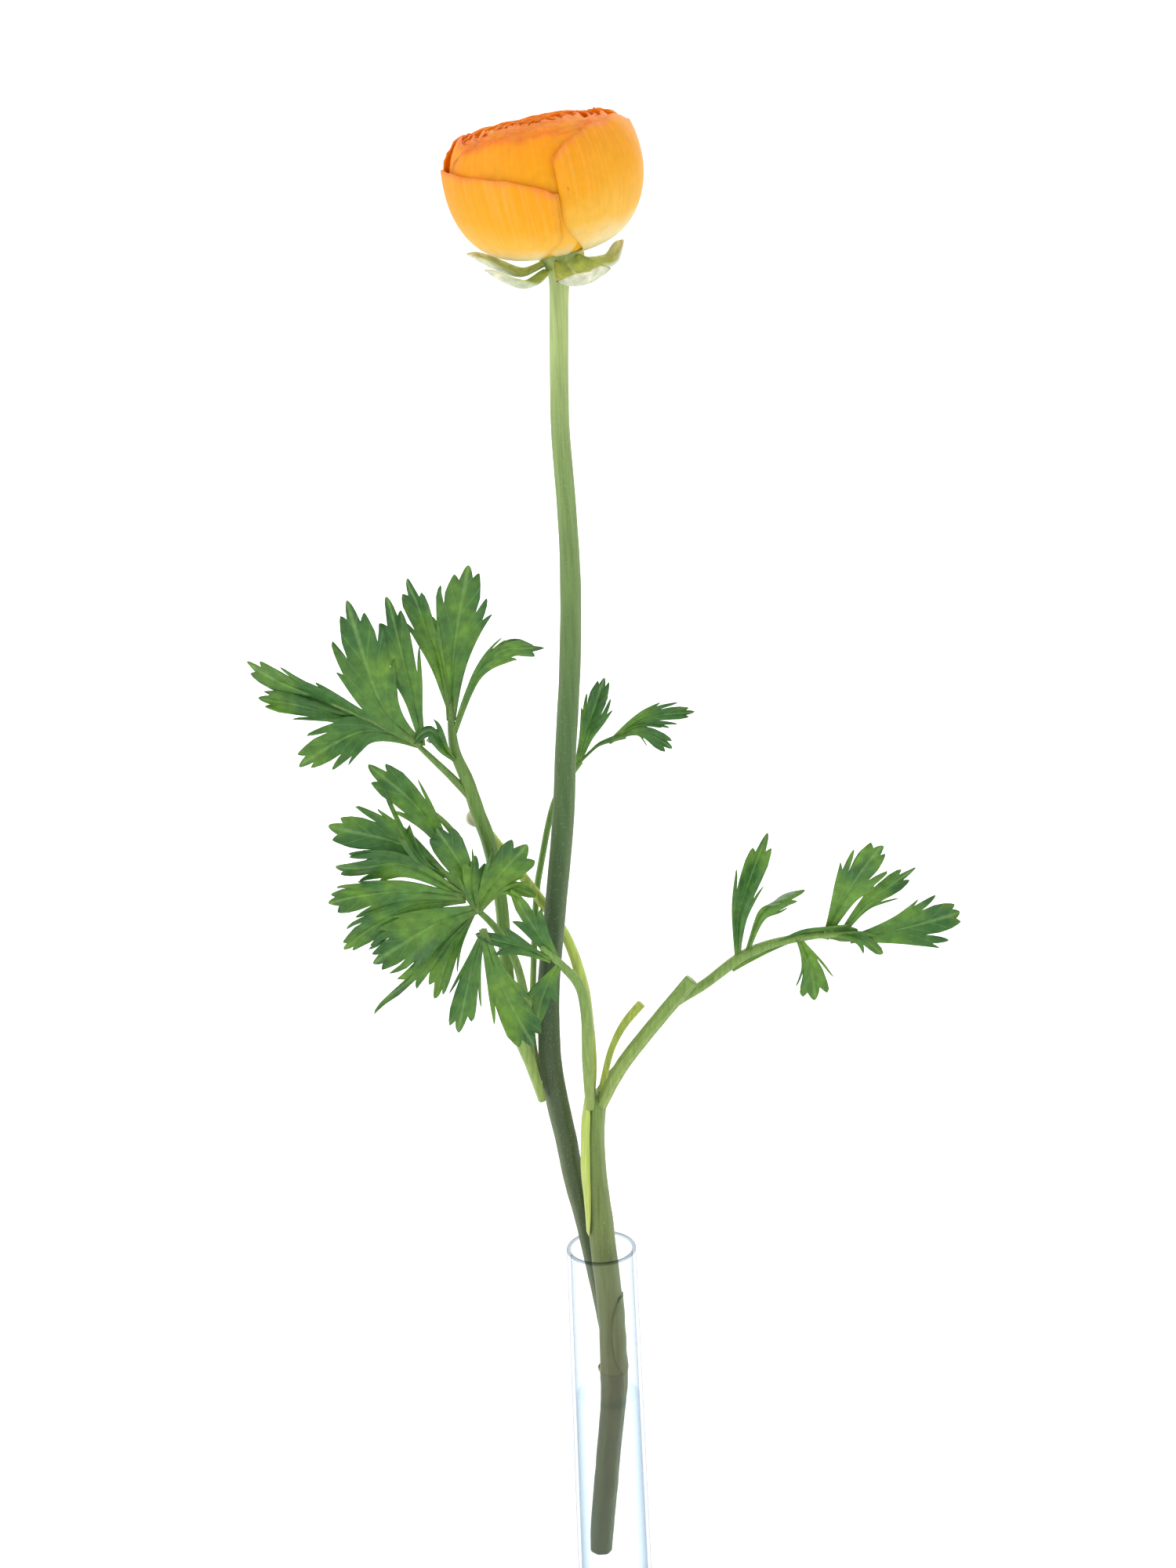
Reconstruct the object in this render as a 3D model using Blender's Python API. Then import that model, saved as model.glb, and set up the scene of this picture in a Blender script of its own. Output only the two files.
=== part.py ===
"""A cut ranunculus with its leaves and side shoot, standing in a narrow glass tube vase.

The vase axis is the world Z axis and the vase stands on Z = 0. The bloom faces -Y.
Sizes and places below are in millimetres; the meshes are written in metres.
"""

import math

import bmesh
import bpy
from mathutils import Matrix, Vector

MM = 0.001
FIT_GAP = 0.35

# Vase
VASE_HEIGHT = 135.0
VASE_RIM_BORE = 9.0
VASE_LOW_BORE = 10.1
VASE_WALL = 1.1
VASE_FLOOR = 9.0
VASE_BORE_START = 14.0
FOOT_RADIUS = 28.0
FOOT_EDGE = 2.6
WATER_LEVEL = 86.5
VASE_SIDES = 32

# Stems: a route is a list of (x, y, z), and its radii are spread evenly along it
LOWER_STEM_ROUTE = [(-3.9, -3.6, 35.2), (-3.4, -3.6, 42.4), (-1.9, -3.6, 56.0), (-0.4, -3.5, 69.4),
                    (1.2, -3.3, 82.6), (2.0, -2.0, 91.0), (2.0, -0.7, 95.9)]
LOWER_STEM_RADII = [3.2, 3.5, 3.6, 3.6, 3.7, 4.0, 4.1]
LOWER_STEM_DEPTHS = [1.0, 1.0, 1.0, 1.0, 1.05, 1.25, 1.6]
SIDE_SHOOT_ROUTE = [(2.0, -3.9, 96.3), (2.0, -3.8, 110.0), (1.6, -3.5, 122.0), (0.7, -3.2, 134.2),
                    (-0.1, -3.0, 146.8), (-0.9, -2.5, 159.0), (-0.9, -2.0, 171.3), (0.1, -1.2, 180.9)]
SIDE_SHOOT_RADII = [3.5, 3.6, 3.7, 3.7, 3.6, 3.4, 3.1, 3.3]
SIDE_SHOOT_DEPTHS = [1.0, 1.0, 1.0, 1.0, 1.0, 1.0, 1.1, 1.5]
FLOWER_STEM_ROUTE = [(1.6, 3.1, 96.3), (1.1, 3.5, 106.0), (-0.6, 4.2, 118.0), (-2.4, 4.5, 130.0),
                     (-4.6, 4.5, 143.0), (-7.1, 4.0, 156.0), (-8.8, 3.0, 169.0), (-10.9, 2.0, 182.0),
                     (-12.2, 1.0, 195.0), (-12.1, 1.0, 207.0), (-11.5, 1.0, 219.0), (-8.5, 0.0, 243.0),
                     (-5.6, 0.0, 266.0), (-3.8, 0.0, 289.0), (-1.8, 0.0, 311.0), (-0.7, 0.0, 333.0),
                     (-0.8, 0.0, 354.0), (-1.6, 0.0, 375.6), (-1.1, 0.0, 396.0), (-0.3, 0.0, 414.0)]
FLOWER_STEM_RADII = [2.6, 2.7, 2.8, 2.9, 2.9, 3.0, 3.1, 3.2, 3.2, 3.1, 3.1, 3.0, 3.0, 2.9, 2.9, 2.8,
                     2.6, 2.5, 2.45, 2.6]
BUD_STALK_ROUTE = [(-1.4, -0.9, 181.6), (-0.6, 2.4, 192.6), (-1.0, 5.6, 204.0), (-2.3, 6.6, 215.7),
                   (-6.2, 6.2, 229.8), (-13.2, 5.6, 242.0), (-20.9, 4.6, 254.5), (-27.0, 3.4, 264.6)]
BUD_STALK_RADII = [1.2, 1.4, 1.4, 1.4, 1.3, 1.3, 1.2, 1.0]
BROKEN_STALK_ROUTE = [(1.7, -3.5, 181.6), (5.2, -4.4, 189.5), (9.5, -5.0, 196.8), (18.7, -5.0, 208.4),
                      (28.3, -5.0, 219.9)]
BROKEN_STALK_RADII = [1.5, 1.8, 1.9, 1.9, 1.8]
TORN_STUB_ROUTE = [(1.5, 0.1, 181.6), (3.2, 0.6, 190.0), (5.6, 0.9, 198.0), (9.3, 1.0, 204.9),
                   (14.2, 1.0, 210.7)]
TORN_STUB_RADII = [1.0, 0.9, 0.9, 1.1, 1.3]

# Leaf stalks
UPPER_LEAF_STALK = [(-14.9, -1.6, 183.4), (-17.5, -3.6, 195.0), (-21.0, -4.6, 207.0), (-22.6, -3.6, 216.0),
                    (-23.2, -1.6, 232.0), (-23.8, -1.0, 246.0), (-26.0, -2.6, 262.0), (-28.7, -3.6, 272.0),
                    (-31.0, -3.6, 281.0), (-34.0, -3.0, 290.0), (-34.6, -2.4, 303.0)]
UPPER_LEAF_STALK_RADII = [1.2, 1.5, 1.7, 1.7, 1.6, 1.6, 1.7, 1.7, 1.6, 1.4, 0.9]
MID_LEAF_STALK = [(-16.0, 1.4, 185.2), (-17.8, 0.6, 195.0), (-18.6, -0.4, 205.0), (-18.4, -3.0, 215.0),
                  (-20.4, -7.4, 229.0), (-25.0, -10.0, 239.5), (-30.0, -11.0, 246.0)]
MID_LEAF_STALK_RADII = [1.0, 1.2, 1.3, 1.2, 1.1, 1.0, 0.9]
FRONT_LEAF_STALK = [(-1.5, -4.6, 181.6), (-1.6, -7.4, 197.0), (-1.4, -9.6, 211.5), (-2.8, -11.2, 222.0),
                    (-7.7, -13.0, 229.6), (-13.0, -15.0, 236.0)]
FRONT_LEAF_STALK_RADII = [1.3, 1.5, 1.5, 1.4, 1.2, 0.9]
SMALL_LEAF_STALK = [(-15.4, 4.4, 186.6), (-17.0, 6.0, 200.7), (-16.1, 8.4, 216.0), (-14.2, 9.2, 239.7),
                    (-12.3, 9.2, 251.0), (-8.3, 9.2, 267.6), (-4.3, 9.0, 275.0), (0.0, 8.0, 281.0)]
SMALL_LEAF_STALK_RADII = [0.8, 0.8, 0.8, 0.8, 0.8, 0.8, 0.8, 0.8]
RIGHT_LEAF_STALK = [(0.3, 2.5, 181.6), (4.2, 3.4, 187.0), (9.6, 3.6, 193.0), (21.2, 2.6, 207.6),
                    (32.4, 1.2, 215.9), (43.6, 0.0, 224.6), (54.6, 0.0, 228.4), (69.3, 0.0, 229.8),
                    (79.0, 0.0, 227.6)]
RIGHT_LEAF_STALK_RADII = [1.0, 1.1, 1.2, 1.2, 1.2, 1.2, 1.1, 0.9, 0.8]

# Leaf lobes: (route from base to tip, half width)
LEAF_THICKNESS = 1.0
UPPER_LEAF_LOBES = [
    ([(-34.5, -2.4, 300.0), (-32.0, -3.0, 318.0), (-27.5, -4.0, 341.0)], 7.5),
    ([(-34.5, -2.4, 300.0), (-38.5, -4.0, 320.0), (-44.0, -5.5, 338.0)], 5.0),
    ([(-34.0, -2.6, 294.0), (-25.0, -5.0, 313.0), (-8.5, -7.0, 318.0)], 5.0),
    ([(-33.4, -3.0, 288.0), (-38.0, -4.5, 292.5), (-45.0, -5.0, 295.5)], 3.0),
    ([(-42.5, -5.0, 294.0), (-46.0, -6.0, 308.0), (-49.5, -7.0, 334.0)], 5.0),
    ([(-43.5, -5.0, 294.6), (-53.0, -8.0, 308.0), (-63.5, -10.0, 335.0)], 7.5),
    ([(-43.5, -5.0, 294.6), (-62.0, -7.0, 304.0), (-87.0, -9.0, 318.0)], 6.5),
    ([(-43.5, -5.0, 294.4), (-60.0, -7.0, 296.5), (-76.0, -9.0, 288.0)], 6.5),
]
MID_LEAF_LOBES = [
    ([(-29.2, -10.8, 244.8), (-36.0, -9.0, 262.0), (-57.5, -8.0, 287.0)], 6.0),
    ([(-29.0, -10.7, 245.0), (-45.0, -11.0, 262.0), (-69.0, -11.0, 271.0)], 7.0),
    ([(-28.8, -10.9, 245.3), (-45.0, -12.0, 258.5), (-67.5, -12.0, 260.0)], 6.0),
    ([(-28.6, -11.0, 245.1), (-48.0, -12.5, 251.0), (-71.0, -11.0, 244.0)], 7.5),
    ([(-29.7, -11.1, 244.5), (-32.0, -12.5, 258.0), (-41.0, -13.0, 271.0)], 6.5),
    ([(-30.0, -11.2, 244.7), (-24.0, -12.5, 255.0), (-15.0, -12.5, 264.5)], 6.5),
    ([(-28.9, -11.3, 246.0), (-42.0, -13.5, 242.0), (-59.5, -13.5, 232.5)], 7.5),
    ([(-28.7, -10.6, 245.8), (-43.0, -13.0, 234.0), (-59.5, -12.5, 216.5)], 3.6),
    ([(-29.3, -10.5, 246.3), (-37.0, -12.0, 236.0), (-43.5, -11.5, 222.0)], 4.2),
]
FRONT_LEAF_LOBES = [
    ([(-7.4, -13.0, 229.2), (-13.0, -15.2, 239.0), (-20.5, -16.0, 252.5)], 4.0),
    ([(-10.5, -14.2, 232.2), (-19.0, -16.8, 237.0), (-31.0, -18.0, 240.5)], 3.4),
    ([(-27.0, -17.8, 240.9), (-33.0, -18.2, 229.0), (-37.0, -18.0, 213.0)], 4.0),
    ([(-26.2, -17.7, 240.6), (-24.0, -18.8, 225.0), (-14.5, -19.0, 208.0)], 6.0),
    ([(-9.2, -13.8, 231.0), (-13.0, -15.0, 223.5), (-15.0, -15.0, 213.5)], 4.0),
]
SMALL_LEAF_LOBES = [
    ([(-0.6, 8.1, 280.4), (2.5, 7.0, 291.0), (6.5, 5.5, 305.0)], 3.6),
    ([(-0.6, 8.1, 280.4), (8.0, 7.0, 287.5), (15.0, 6.5, 291.0)], 1.6),
    ([(9.0, 7.0, 287.6), (18.0, 6.0, 293.5), (31.5, 5.0, 295.0)], 3.0),
    ([(9.0, 7.0, 287.8), (17.0, 5.5, 289.5), (25.5, 4.5, 284.0)], 3.0),
]
RIGHT_LEAF_LOBES = [
    ([(42.5, 0.0, 224.0), (44.0, -1.5, 240.0), (50.5, -3.0, 261.5)], 4.2),
    ([(44.0, 0.0, 225.0), (49.0, -4.0, 238.0), (59.5, -6.0, 245.5)], 3.6),
    ([(46.0, 0.0, 225.6), (58.0, -0.4, 229.5), (72.0, -0.6, 230.0)], 2.6),
    ([(67.0, 0.0, 230.0), (73.5, -1.0, 243.0), (83.0, -2.0, 256.5)], 6.0),
    ([(71.0, 0.0, 230.0), (80.0, 2.0, 239.0), (91.5, 3.5, 247.0)], 3.2),
    ([(75.0, 0.0, 228.6), (89.0, -2.0, 232.0), (103.5, -3.0, 236.5)], 6.5),
    ([(59.5, -0.4, 228.9), (62.5, -2.5, 221.0), (63.0, -4.0, 211.5)], 5.0),
]

# Lobe outlines: (station of the midrib point, station of the edge point, share of the half width)
TOOTHED_LOBE = [(0.00, 0.00, 0.20), (0.35, 0.36, 0.42), (0.58, 0.62, 0.85), (0.68, 0.82, 1.00),
                (0.74, 0.76, 0.55), (0.83, 0.94, 0.55), (0.88, 0.89, 0.22)]
PLAIN_LOBE = [(0.00, 0.00, 0.45), (0.20, 0.20, 0.80), (0.45, 0.45, 1.00), (0.72, 0.72, 0.72)]

# Flower head: its own axis starts at HEAD_BASE and leans towards -X
HEAD_BASE = (-0.2, 0.0, 421.7)
HEAD_LEAN = math.radians(8.0)
HEAD_RADIUS = 25.4
HEAD_WAIST = 21.0
HEAD_CROWN = 16.0
PETAL_THICKNESS = 0.9
WHORL_SIZES = [4, 5, 5, 5, 5, 4, 3]
WHORL_STEP = 2.8
WHORL_BASE_STEP = 1.45
WHORL_CROWN_STEP = 1.35
WHORL_TURN = math.radians(38.0)
PETAL_SHINGLE = 0.5
PETAL_HALF_ANGLE = 0.95
PETAL_BASE_NARROWING = 0.82
PETAL_SHOULDER = 0.8
# Outer whorl, as (bearing in degrees, half angle in degrees, top angle in degrees)
OUTER_PETALS = [(-132.0, 46.0, 16.0), (-40.0, 42.0, 50.0), (47.0, 41.0, 44.0), (134.0, 41.0, 50.0)]
INNER_TOP_ANGLE = math.radians(60.0)
PETAL_COLUMNS = 4
PETAL_ROWS = 6

# Sepals, as (bearing in degrees, [(distance from the head axis, height on it), ...], half width)
SEPALS = [
    (180.0, [(4.3, -2.2), (10.0, -3.6), (16.0, -0.6), (22.5, 4.6)], 4.5),
    (-146.0, [(4.1, -3.9), (9.5, -5.7), (16.0, -3.6), (22.0, 1.6)], 3.6),
    (-62.0, [(4.3, -2.2), (8.5, -5.6), (12.5, -6.6), (16.0, -3.4)], 6.0),
    (12.0, [(4.3, -2.2), (9.5, -4.8), (14.5, -4.6), (17.0, -0.2)], 4.5),
    (88.0, [(4.3, -2.2), (9.5, -4.4), (15.0, -3.6), (19.0, 0.4)], 4.5),
]
SEPAL_THICKNESS = 0.9

BUD_CENTRE = (-29.6, 2.6, 267.8)
BUD_RADIUS = 2.7

TUBE_SIDES = 9
THIN_TUBE_SIDES = 6


def clear_scene():
    """Remove every object that the file starts with."""
    for item in list(bpy.data.objects):
        bpy.data.objects.remove(item, do_unlink=True)


def finish(name, colour, roughness, alpha=1.0):
    """Make one Principled material."""
    material = bpy.data.materials.new(name)
    material.use_nodes = True
    shader = material.node_tree.nodes["Principled BSDF"]
    shader.inputs["Base Color"].default_value = (*colour, 1.0)
    shader.inputs["Roughness"].default_value = roughness
    shader.inputs["Metallic"].default_value = 0.0
    shader.inputs["Alpha"].default_value = alpha
    return material


def add_mesh(name, points, faces, material, smooth_angle=None):
    """Make an object from points in millimetres, with its faces turned outwards."""
    mesh = bpy.data.meshes.new(name)
    mesh.from_pydata([Vector(point) * MM for point in points], [], faces)
    shell = bmesh.new()
    shell.from_mesh(mesh)
    bmesh.ops.recalc_face_normals(shell, faces=shell.faces)
    shell.to_mesh(mesh)
    shell.free()
    mesh.materials.append(material)
    if smooth_angle is not None:
        mesh.shade_smooth()
        mesh.set_sharp_from_angle(angle=smooth_angle)
    item = bpy.data.objects.new(name, mesh)
    bpy.context.scene.collection.objects.link(item)
    return item


def combine(target, tool, operation):
    """Combine a helper solid with the target and keep the helper out of the build."""
    tool.hide_render = True
    tool.display_type = 'WIRE'
    step = target.modifiers.new(operation.lower(), 'BOOLEAN')
    step.operation = operation
    step.solver = 'EXACT'
    step.object = tool


def smooth_point(points, share):
    """Give the point at a share of the way along a smooth curve through the points."""
    spans = len(points) - 1
    place = min(max(share, 0.0), 1.0) * spans
    index = min(int(place), spans - 1)
    t = place - index
    before = points[max(index - 1, 0)]
    start, end = points[index], points[index + 1]
    after = points[min(index + 2, spans)]
    return tuple(0.5 * (2 * b + (c - a) * t + (2 * a - 5 * b + 4 * c - d) * t * t
                        + (3 * b - a - 3 * c + d) * t ** 3)
                 for a, b, c, d in zip(before, start, end, after))


def tube(name, route, radii, material, sides=TUBE_SIDES, depths=None, level_end=False):
    """Loft a closed stem along a route, starting level; depths stretch its section along Y."""
    steps = 2 * (len(route) - 1)
    depths = depths or [1.0] * len(route)
    points = []
    for step in range(steps + 1):
        share = step / steps
        centre = Vector(smooth_point(route, share))
        ahead = Vector(smooth_point(route, share + 0.02))
        behind = Vector(smooth_point(route, share - 0.02))
        forward = (ahead - behind).normalized()
        if step == 0 or (level_end and step == steps):
            forward = Vector((0.0, 0.0, 1.0))
        side = Vector((0.0, 1.0, 0.0)).cross(forward).normalized()
        deep = forward.cross(side)
        radius = smooth_point([(value,) for value in radii], share)[0]
        depth = smooth_point([(value,) for value in depths], share)[0]
        for corner in range(sides):
            turn = 2 * math.pi * corner / sides
            points.append(centre + side * radius * math.cos(turn) + deep * radius * depth * math.sin(turn))
    faces = [[step * sides + corner, step * sides + (corner + 1) % sides,
              (step + 1) * sides + (corner + 1) % sides, (step + 1) * sides + corner]
             for step in range(steps) for corner in range(sides)]
    faces.append(list(range(sides)))
    faces.append([steps * sides + corner for corner in range(sides)])
    return add_mesh(name, points, faces, material, math.radians(50))


def turned(name, profile, material, centre=(0.0, 0.0, 0.0), sides=VASE_SIDES):
    """Turn a profile that starts and ends on the axis, as (radius, height) pairs."""
    rings = profile[1:-1]
    points = [(centre[0], centre[1], centre[2] + profile[0][1])]
    for radius, height in rings:
        for corner in range(sides):
            turn = 2 * math.pi * corner / sides
            points.append((centre[0] + radius * math.cos(turn), centre[1] + radius * math.sin(turn),
                           centre[2] + height))
    points.append((centre[0], centre[1], centre[2] + profile[-1][1]))
    last = len(points) - 1
    faces = []
    for corner in range(sides):
        after = (corner + 1) % sides
        faces.append([0, 1 + corner, 1 + after])
        faces.append([last, last - sides + corner, last - sides + after])
        for ring in range(len(rings) - 1):
            low = 1 + ring * sides
            faces.append([low + corner, low + after, low + sides + after, low + sides + corner])
    return add_mesh(name, points, faces, material, math.radians(40))


def blade(name, route, half_width, outline, facing, thickness, material, rise=0.6):
    """Make a thin closed lobe along a route, folded a little along its midrib."""
    outer = Vector(facing).normalized()
    rows = []
    for middle, edge, share in outline:
        rows.append(blade_row(route, middle, edge, half_width * share, outer, rise * share))
    tip = Vector(route[-1])
    points = []
    for side in (1.0, -1.0):
        for row in rows:
            points.extend(point + outer * (side * thickness / 2) for point in row)
        points.append(tip + outer * (side * thickness / 2))
    per_side = 3 * len(rows) + 1
    faces = []
    for index in range(len(rows) - 1):
        for column in (0, 1):
            corner = 3 * index + column
            face = [corner, corner + 1, corner + 4, corner + 3]
            faces.append(face)
            faces.append([per_side + value for value in face])
    end = 3 * (len(rows) - 1)
    for column in (0, 1):
        faces.append([end + column, end + column + 1, per_side - 1])
        faces.append([per_side + end + column, per_side + end + column + 1, 2 * per_side - 1])
    rim = [0, 1, 2] + [3 * index + 2 for index in range(1, len(rows))] + [per_side - 1]
    rim += [3 * index for index in range(len(rows) - 1, 0, -1)]
    for here, there in zip(rim, rim[1:] + rim[:1]):
        faces.append([here, there, per_side + there, per_side + here])
    return add_mesh(name, points, faces, material)


def blade_row(route, middle, edge, half_width, outer, rise):
    """Give the left edge, midrib and right edge points of one row of a lobe."""
    centre = Vector(smooth_point(route, middle))
    level = Vector(smooth_point(route, edge))
    forward = Vector(smooth_point(route, edge + 0.03)) - Vector(smooth_point(route, edge - 0.03))
    across = forward.cross(outer).normalized()
    return [level - across * half_width, centre - outer * rise, level + across * half_width]


def leaf(name, stalk, radii, lobes, material):
    """Make one divided leaf: its stalk joined to all of its toothed lobes."""
    body = tube(name, stalk, radii, material, THIN_TUBE_SIDES)
    for number, (route, half_width) in enumerate(lobes):
        tool = blade(f"{name}_lobe_{number}", route, half_width, TOOTHED_LOBE, (0.0, -1.0, 0.12),
                     LEAF_THICKNESS + 0.04 * number, material)
        combine(body, tool, 'UNION')
    return body


def head_frame():
    """Give the matrix that carries the head's own frame to the world, in millimetres."""
    return Matrix.Translation(Vector(HEAD_BASE)) @ Matrix.Rotation(-HEAD_LEAN, 4, 'Y')


def petal_point(whorl, bearing, angle, offset):
    """Give a point of a whorl's bowl; angle -90 degrees is its base and 0 is its waist."""
    base_radius = 5.8 - 0.45 * whorl
    base_height = 0.7 + WHORL_BASE_STEP * whorl
    waist = HEAD_RADIUS - WHORL_STEP * whorl + offset
    rounding = max(math.cos(angle), 0.0) ** PETAL_SHOULDER
    if angle < 0.0:
        radius = base_radius + (waist - base_radius) * rounding
        height = HEAD_WAIST + (HEAD_WAIST - base_height) * math.sin(angle)
    else:
        radius = waist * rounding
        height = HEAD_WAIST + (HEAD_CROWN - WHORL_CROWN_STEP * whorl) * math.sin(angle)
    return Vector((radius * math.cos(bearing), radius * math.sin(bearing), height))


def petal(name, whorl, bearing, half_angle, top_angle, material):
    """Make one cupped petal as a closed shell, narrower at its base and slightly turned in its whorl."""
    frame = head_frame()
    start_angle = math.radians(-90.0)
    points = []
    for side in (-0.5, 0.5):
        for row in range(PETAL_ROWS + 1):
            rise = row / PETAL_ROWS
            angle = start_angle + (top_angle - start_angle) * rise
            widen = min(1.0, rise * 1.6)
            ease = widen * widen * (3 - 2 * widen)
            spread = half_angle * (PETAL_BASE_NARROWING + (1.0 - PETAL_BASE_NARROWING) * ease)
            for column in range(PETAL_COLUMNS + 1):
                across = 2 * column / PETAL_COLUMNS - 1
                shingle = PETAL_SHINGLE * across * min(1.0, rise * 2.4)
                dip = 1.0 - 0.10 * across ** 2 * rise
                place = petal_point(whorl, bearing + spread * across, start_angle + (angle - start_angle) * dip,
                                    shingle + side * PETAL_THICKNESS)
                if row == 0:
                    place.z += side * PETAL_THICKNESS * -1.0
                points.append(frame @ place)
    per_row = PETAL_COLUMNS + 1
    per_side = per_row * (PETAL_ROWS + 1)
    faces = []
    for row in range(PETAL_ROWS):
        for column in range(PETAL_COLUMNS):
            corner = row * per_row + column
            face = [corner, corner + 1, corner + per_row + 1, corner + per_row]
            faces.append(face)
            faces.append([per_side + value for value in face])
    rim = list(range(per_row))
    rim += [row * per_row + PETAL_COLUMNS for row in range(1, PETAL_ROWS + 1)]
    rim += [PETAL_ROWS * per_row + column for column in range(PETAL_COLUMNS - 1, -1, -1)]
    rim += [row * per_row for row in range(PETAL_ROWS - 1, 0, -1)]
    for here, there in zip(rim, rim[1:] + rim[:1]):
        faces.append([here, there, per_side + there, per_side + here])
    return add_mesh(name, points, faces, material, math.radians(60))


def build_petals(outer_finish, inner_finish):
    """Make the outer petals and the nested whorls inside them."""
    for number, (bearing, half_angle, top_angle) in enumerate(OUTER_PETALS, start=1):
        petal(f"outer_petal_{number}", 0, math.radians(bearing), math.radians(half_angle),
              math.radians(top_angle), outer_finish)
    for whorl in range(1, len(WHORL_SIZES)):
        share = math.pi / WHORL_SIZES[whorl]
        for number in range(WHORL_SIZES[whorl]):
            bearing = math.radians(-96.0) + WHORL_TURN * (whorl - 1) + 2 * share * number
            petal(f"whorl_{whorl}_petal_{number + 1}", whorl, bearing, PETAL_HALF_ANGLE * share,
                  INNER_TOP_ANGLE, inner_finish)


def build_sepals(material):
    """Make the five folded-back sepals under the head."""
    frame = head_frame()
    for number, (bearing, profile, half_width) in enumerate(SEPALS, start=1):
        turn = math.radians(bearing)
        route = [tuple(frame @ Vector((out * math.cos(turn), out * math.sin(turn), height)))
                 for out, height in profile]
        blade(f"sepal_{number}", route, half_width, PLAIN_LOBE, frame.to_3x3() @ Vector((0.0, 0.0, 1.0)),
              SEPAL_THICKNESS, material, rise=0.9)


def vase_bore(height):
    """Give the bore's radius at a height; the tube widens slightly towards the foot."""
    share = (height - VASE_BORE_START) / (VASE_HEIGHT - VASE_BORE_START)
    return VASE_LOW_BORE + (VASE_RIM_BORE - VASE_LOW_BORE) * share


def build_vase(glass, water_finish, stem_finish):
    """Make the glass vase and the water that stands in it round the stem."""
    rim = VASE_HEIGHT
    outside = [(0.0, 0.0), (FOOT_RADIUS - 1.0, 0.0), (FOOT_RADIUS, 0.9), (FOOT_RADIUS - 0.4, FOOT_EDGE),
               (20.0, 4.2), (14.0, 6.6), (VASE_LOW_BORE + VASE_WALL + 0.4, 10.5)]
    outside += [(vase_bore(height) + VASE_WALL, height) for height in (VASE_BORE_START + 2, 70.0, rim - 0.5)]
    inside = [(VASE_RIM_BORE + VASE_WALL / 2, rim), (VASE_RIM_BORE, rim - 0.4)]
    inside += [(vase_bore(height), height) for height in (70.0, VASE_BORE_START)]
    inside += [(VASE_LOW_BORE - 0.6, 11.0), (VASE_LOW_BORE - 2.4, VASE_FLOOR + 0.4), (0.0, VASE_FLOOR)]
    turned("glass_vase", outside + inside, glass)
    pool = [(0.0, VASE_FLOOR + FIT_GAP), (VASE_LOW_BORE - 2.7, VASE_FLOOR + 0.8), (VASE_LOW_BORE - 1.0, 11.3)]
    pool += [(vase_bore(height) - FIT_GAP, height) for height in (VASE_BORE_START, 50.0, WATER_LEVEL)]
    pool.append((0.0, WATER_LEVEL))
    water = turned("water", pool, water_finish)
    start = (LOWER_STEM_ROUTE[0][0] - 0.1, LOWER_STEM_ROUTE[0][1], LOWER_STEM_ROUTE[0][2] - FIT_GAP)
    sleeve = tube("water_cutter", [start] + LOWER_STEM_ROUTE[1:],
                  [radius + FIT_GAP for radius in LOWER_STEM_RADII], stem_finish,
                  depths=LOWER_STEM_DEPTHS, level_end=True)
    combine(water, sleeve, 'DIFFERENCE')


def build_stems(stem, stalk):
    """Make the stems and the bare stalks."""
    tube("lower_stem", LOWER_STEM_ROUTE, LOWER_STEM_RADII, stem, depths=LOWER_STEM_DEPTHS,
         level_end=True)
    tube("side_shoot_stem", SIDE_SHOOT_ROUTE, SIDE_SHOOT_RADII, stem,
         depths=SIDE_SHOOT_DEPTHS, level_end=True)
    frame = head_frame()
    receptacle = [(-4.5, 2.9), (-1.2, 3.6), (0.2, 5.0), (4.0, 3.7), (8.6, 2.2)]
    route = FLOWER_STEM_ROUTE + [tuple(frame @ Vector((0.0, 0.0, height))) for height, _ in receptacle]
    tube("flower_stem", route, FLOWER_STEM_RADII + [radius for _, radius in receptacle], stem)
    tube("bud_stalk", BUD_STALK_ROUTE, BUD_STALK_RADII, stalk, THIN_TUBE_SIDES)
    tube("broken_leaf_stalk", BROKEN_STALK_ROUTE, BROKEN_STALK_RADII, stalk, THIN_TUBE_SIDES)
    tube("torn_stalk_stub", TORN_STUB_ROUTE, TORN_STUB_RADII, stalk, THIN_TUBE_SIDES)


def build_bud(material):
    """Make the small round side bud."""
    arcs = 7
    profile = [(BUD_RADIUS * math.sin(math.pi * step / arcs), -BUD_RADIUS * math.cos(math.pi * step / arcs))
               for step in range(arcs + 1)]
    turned("flower_bud", profile, material, BUD_CENTRE, 12)


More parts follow.
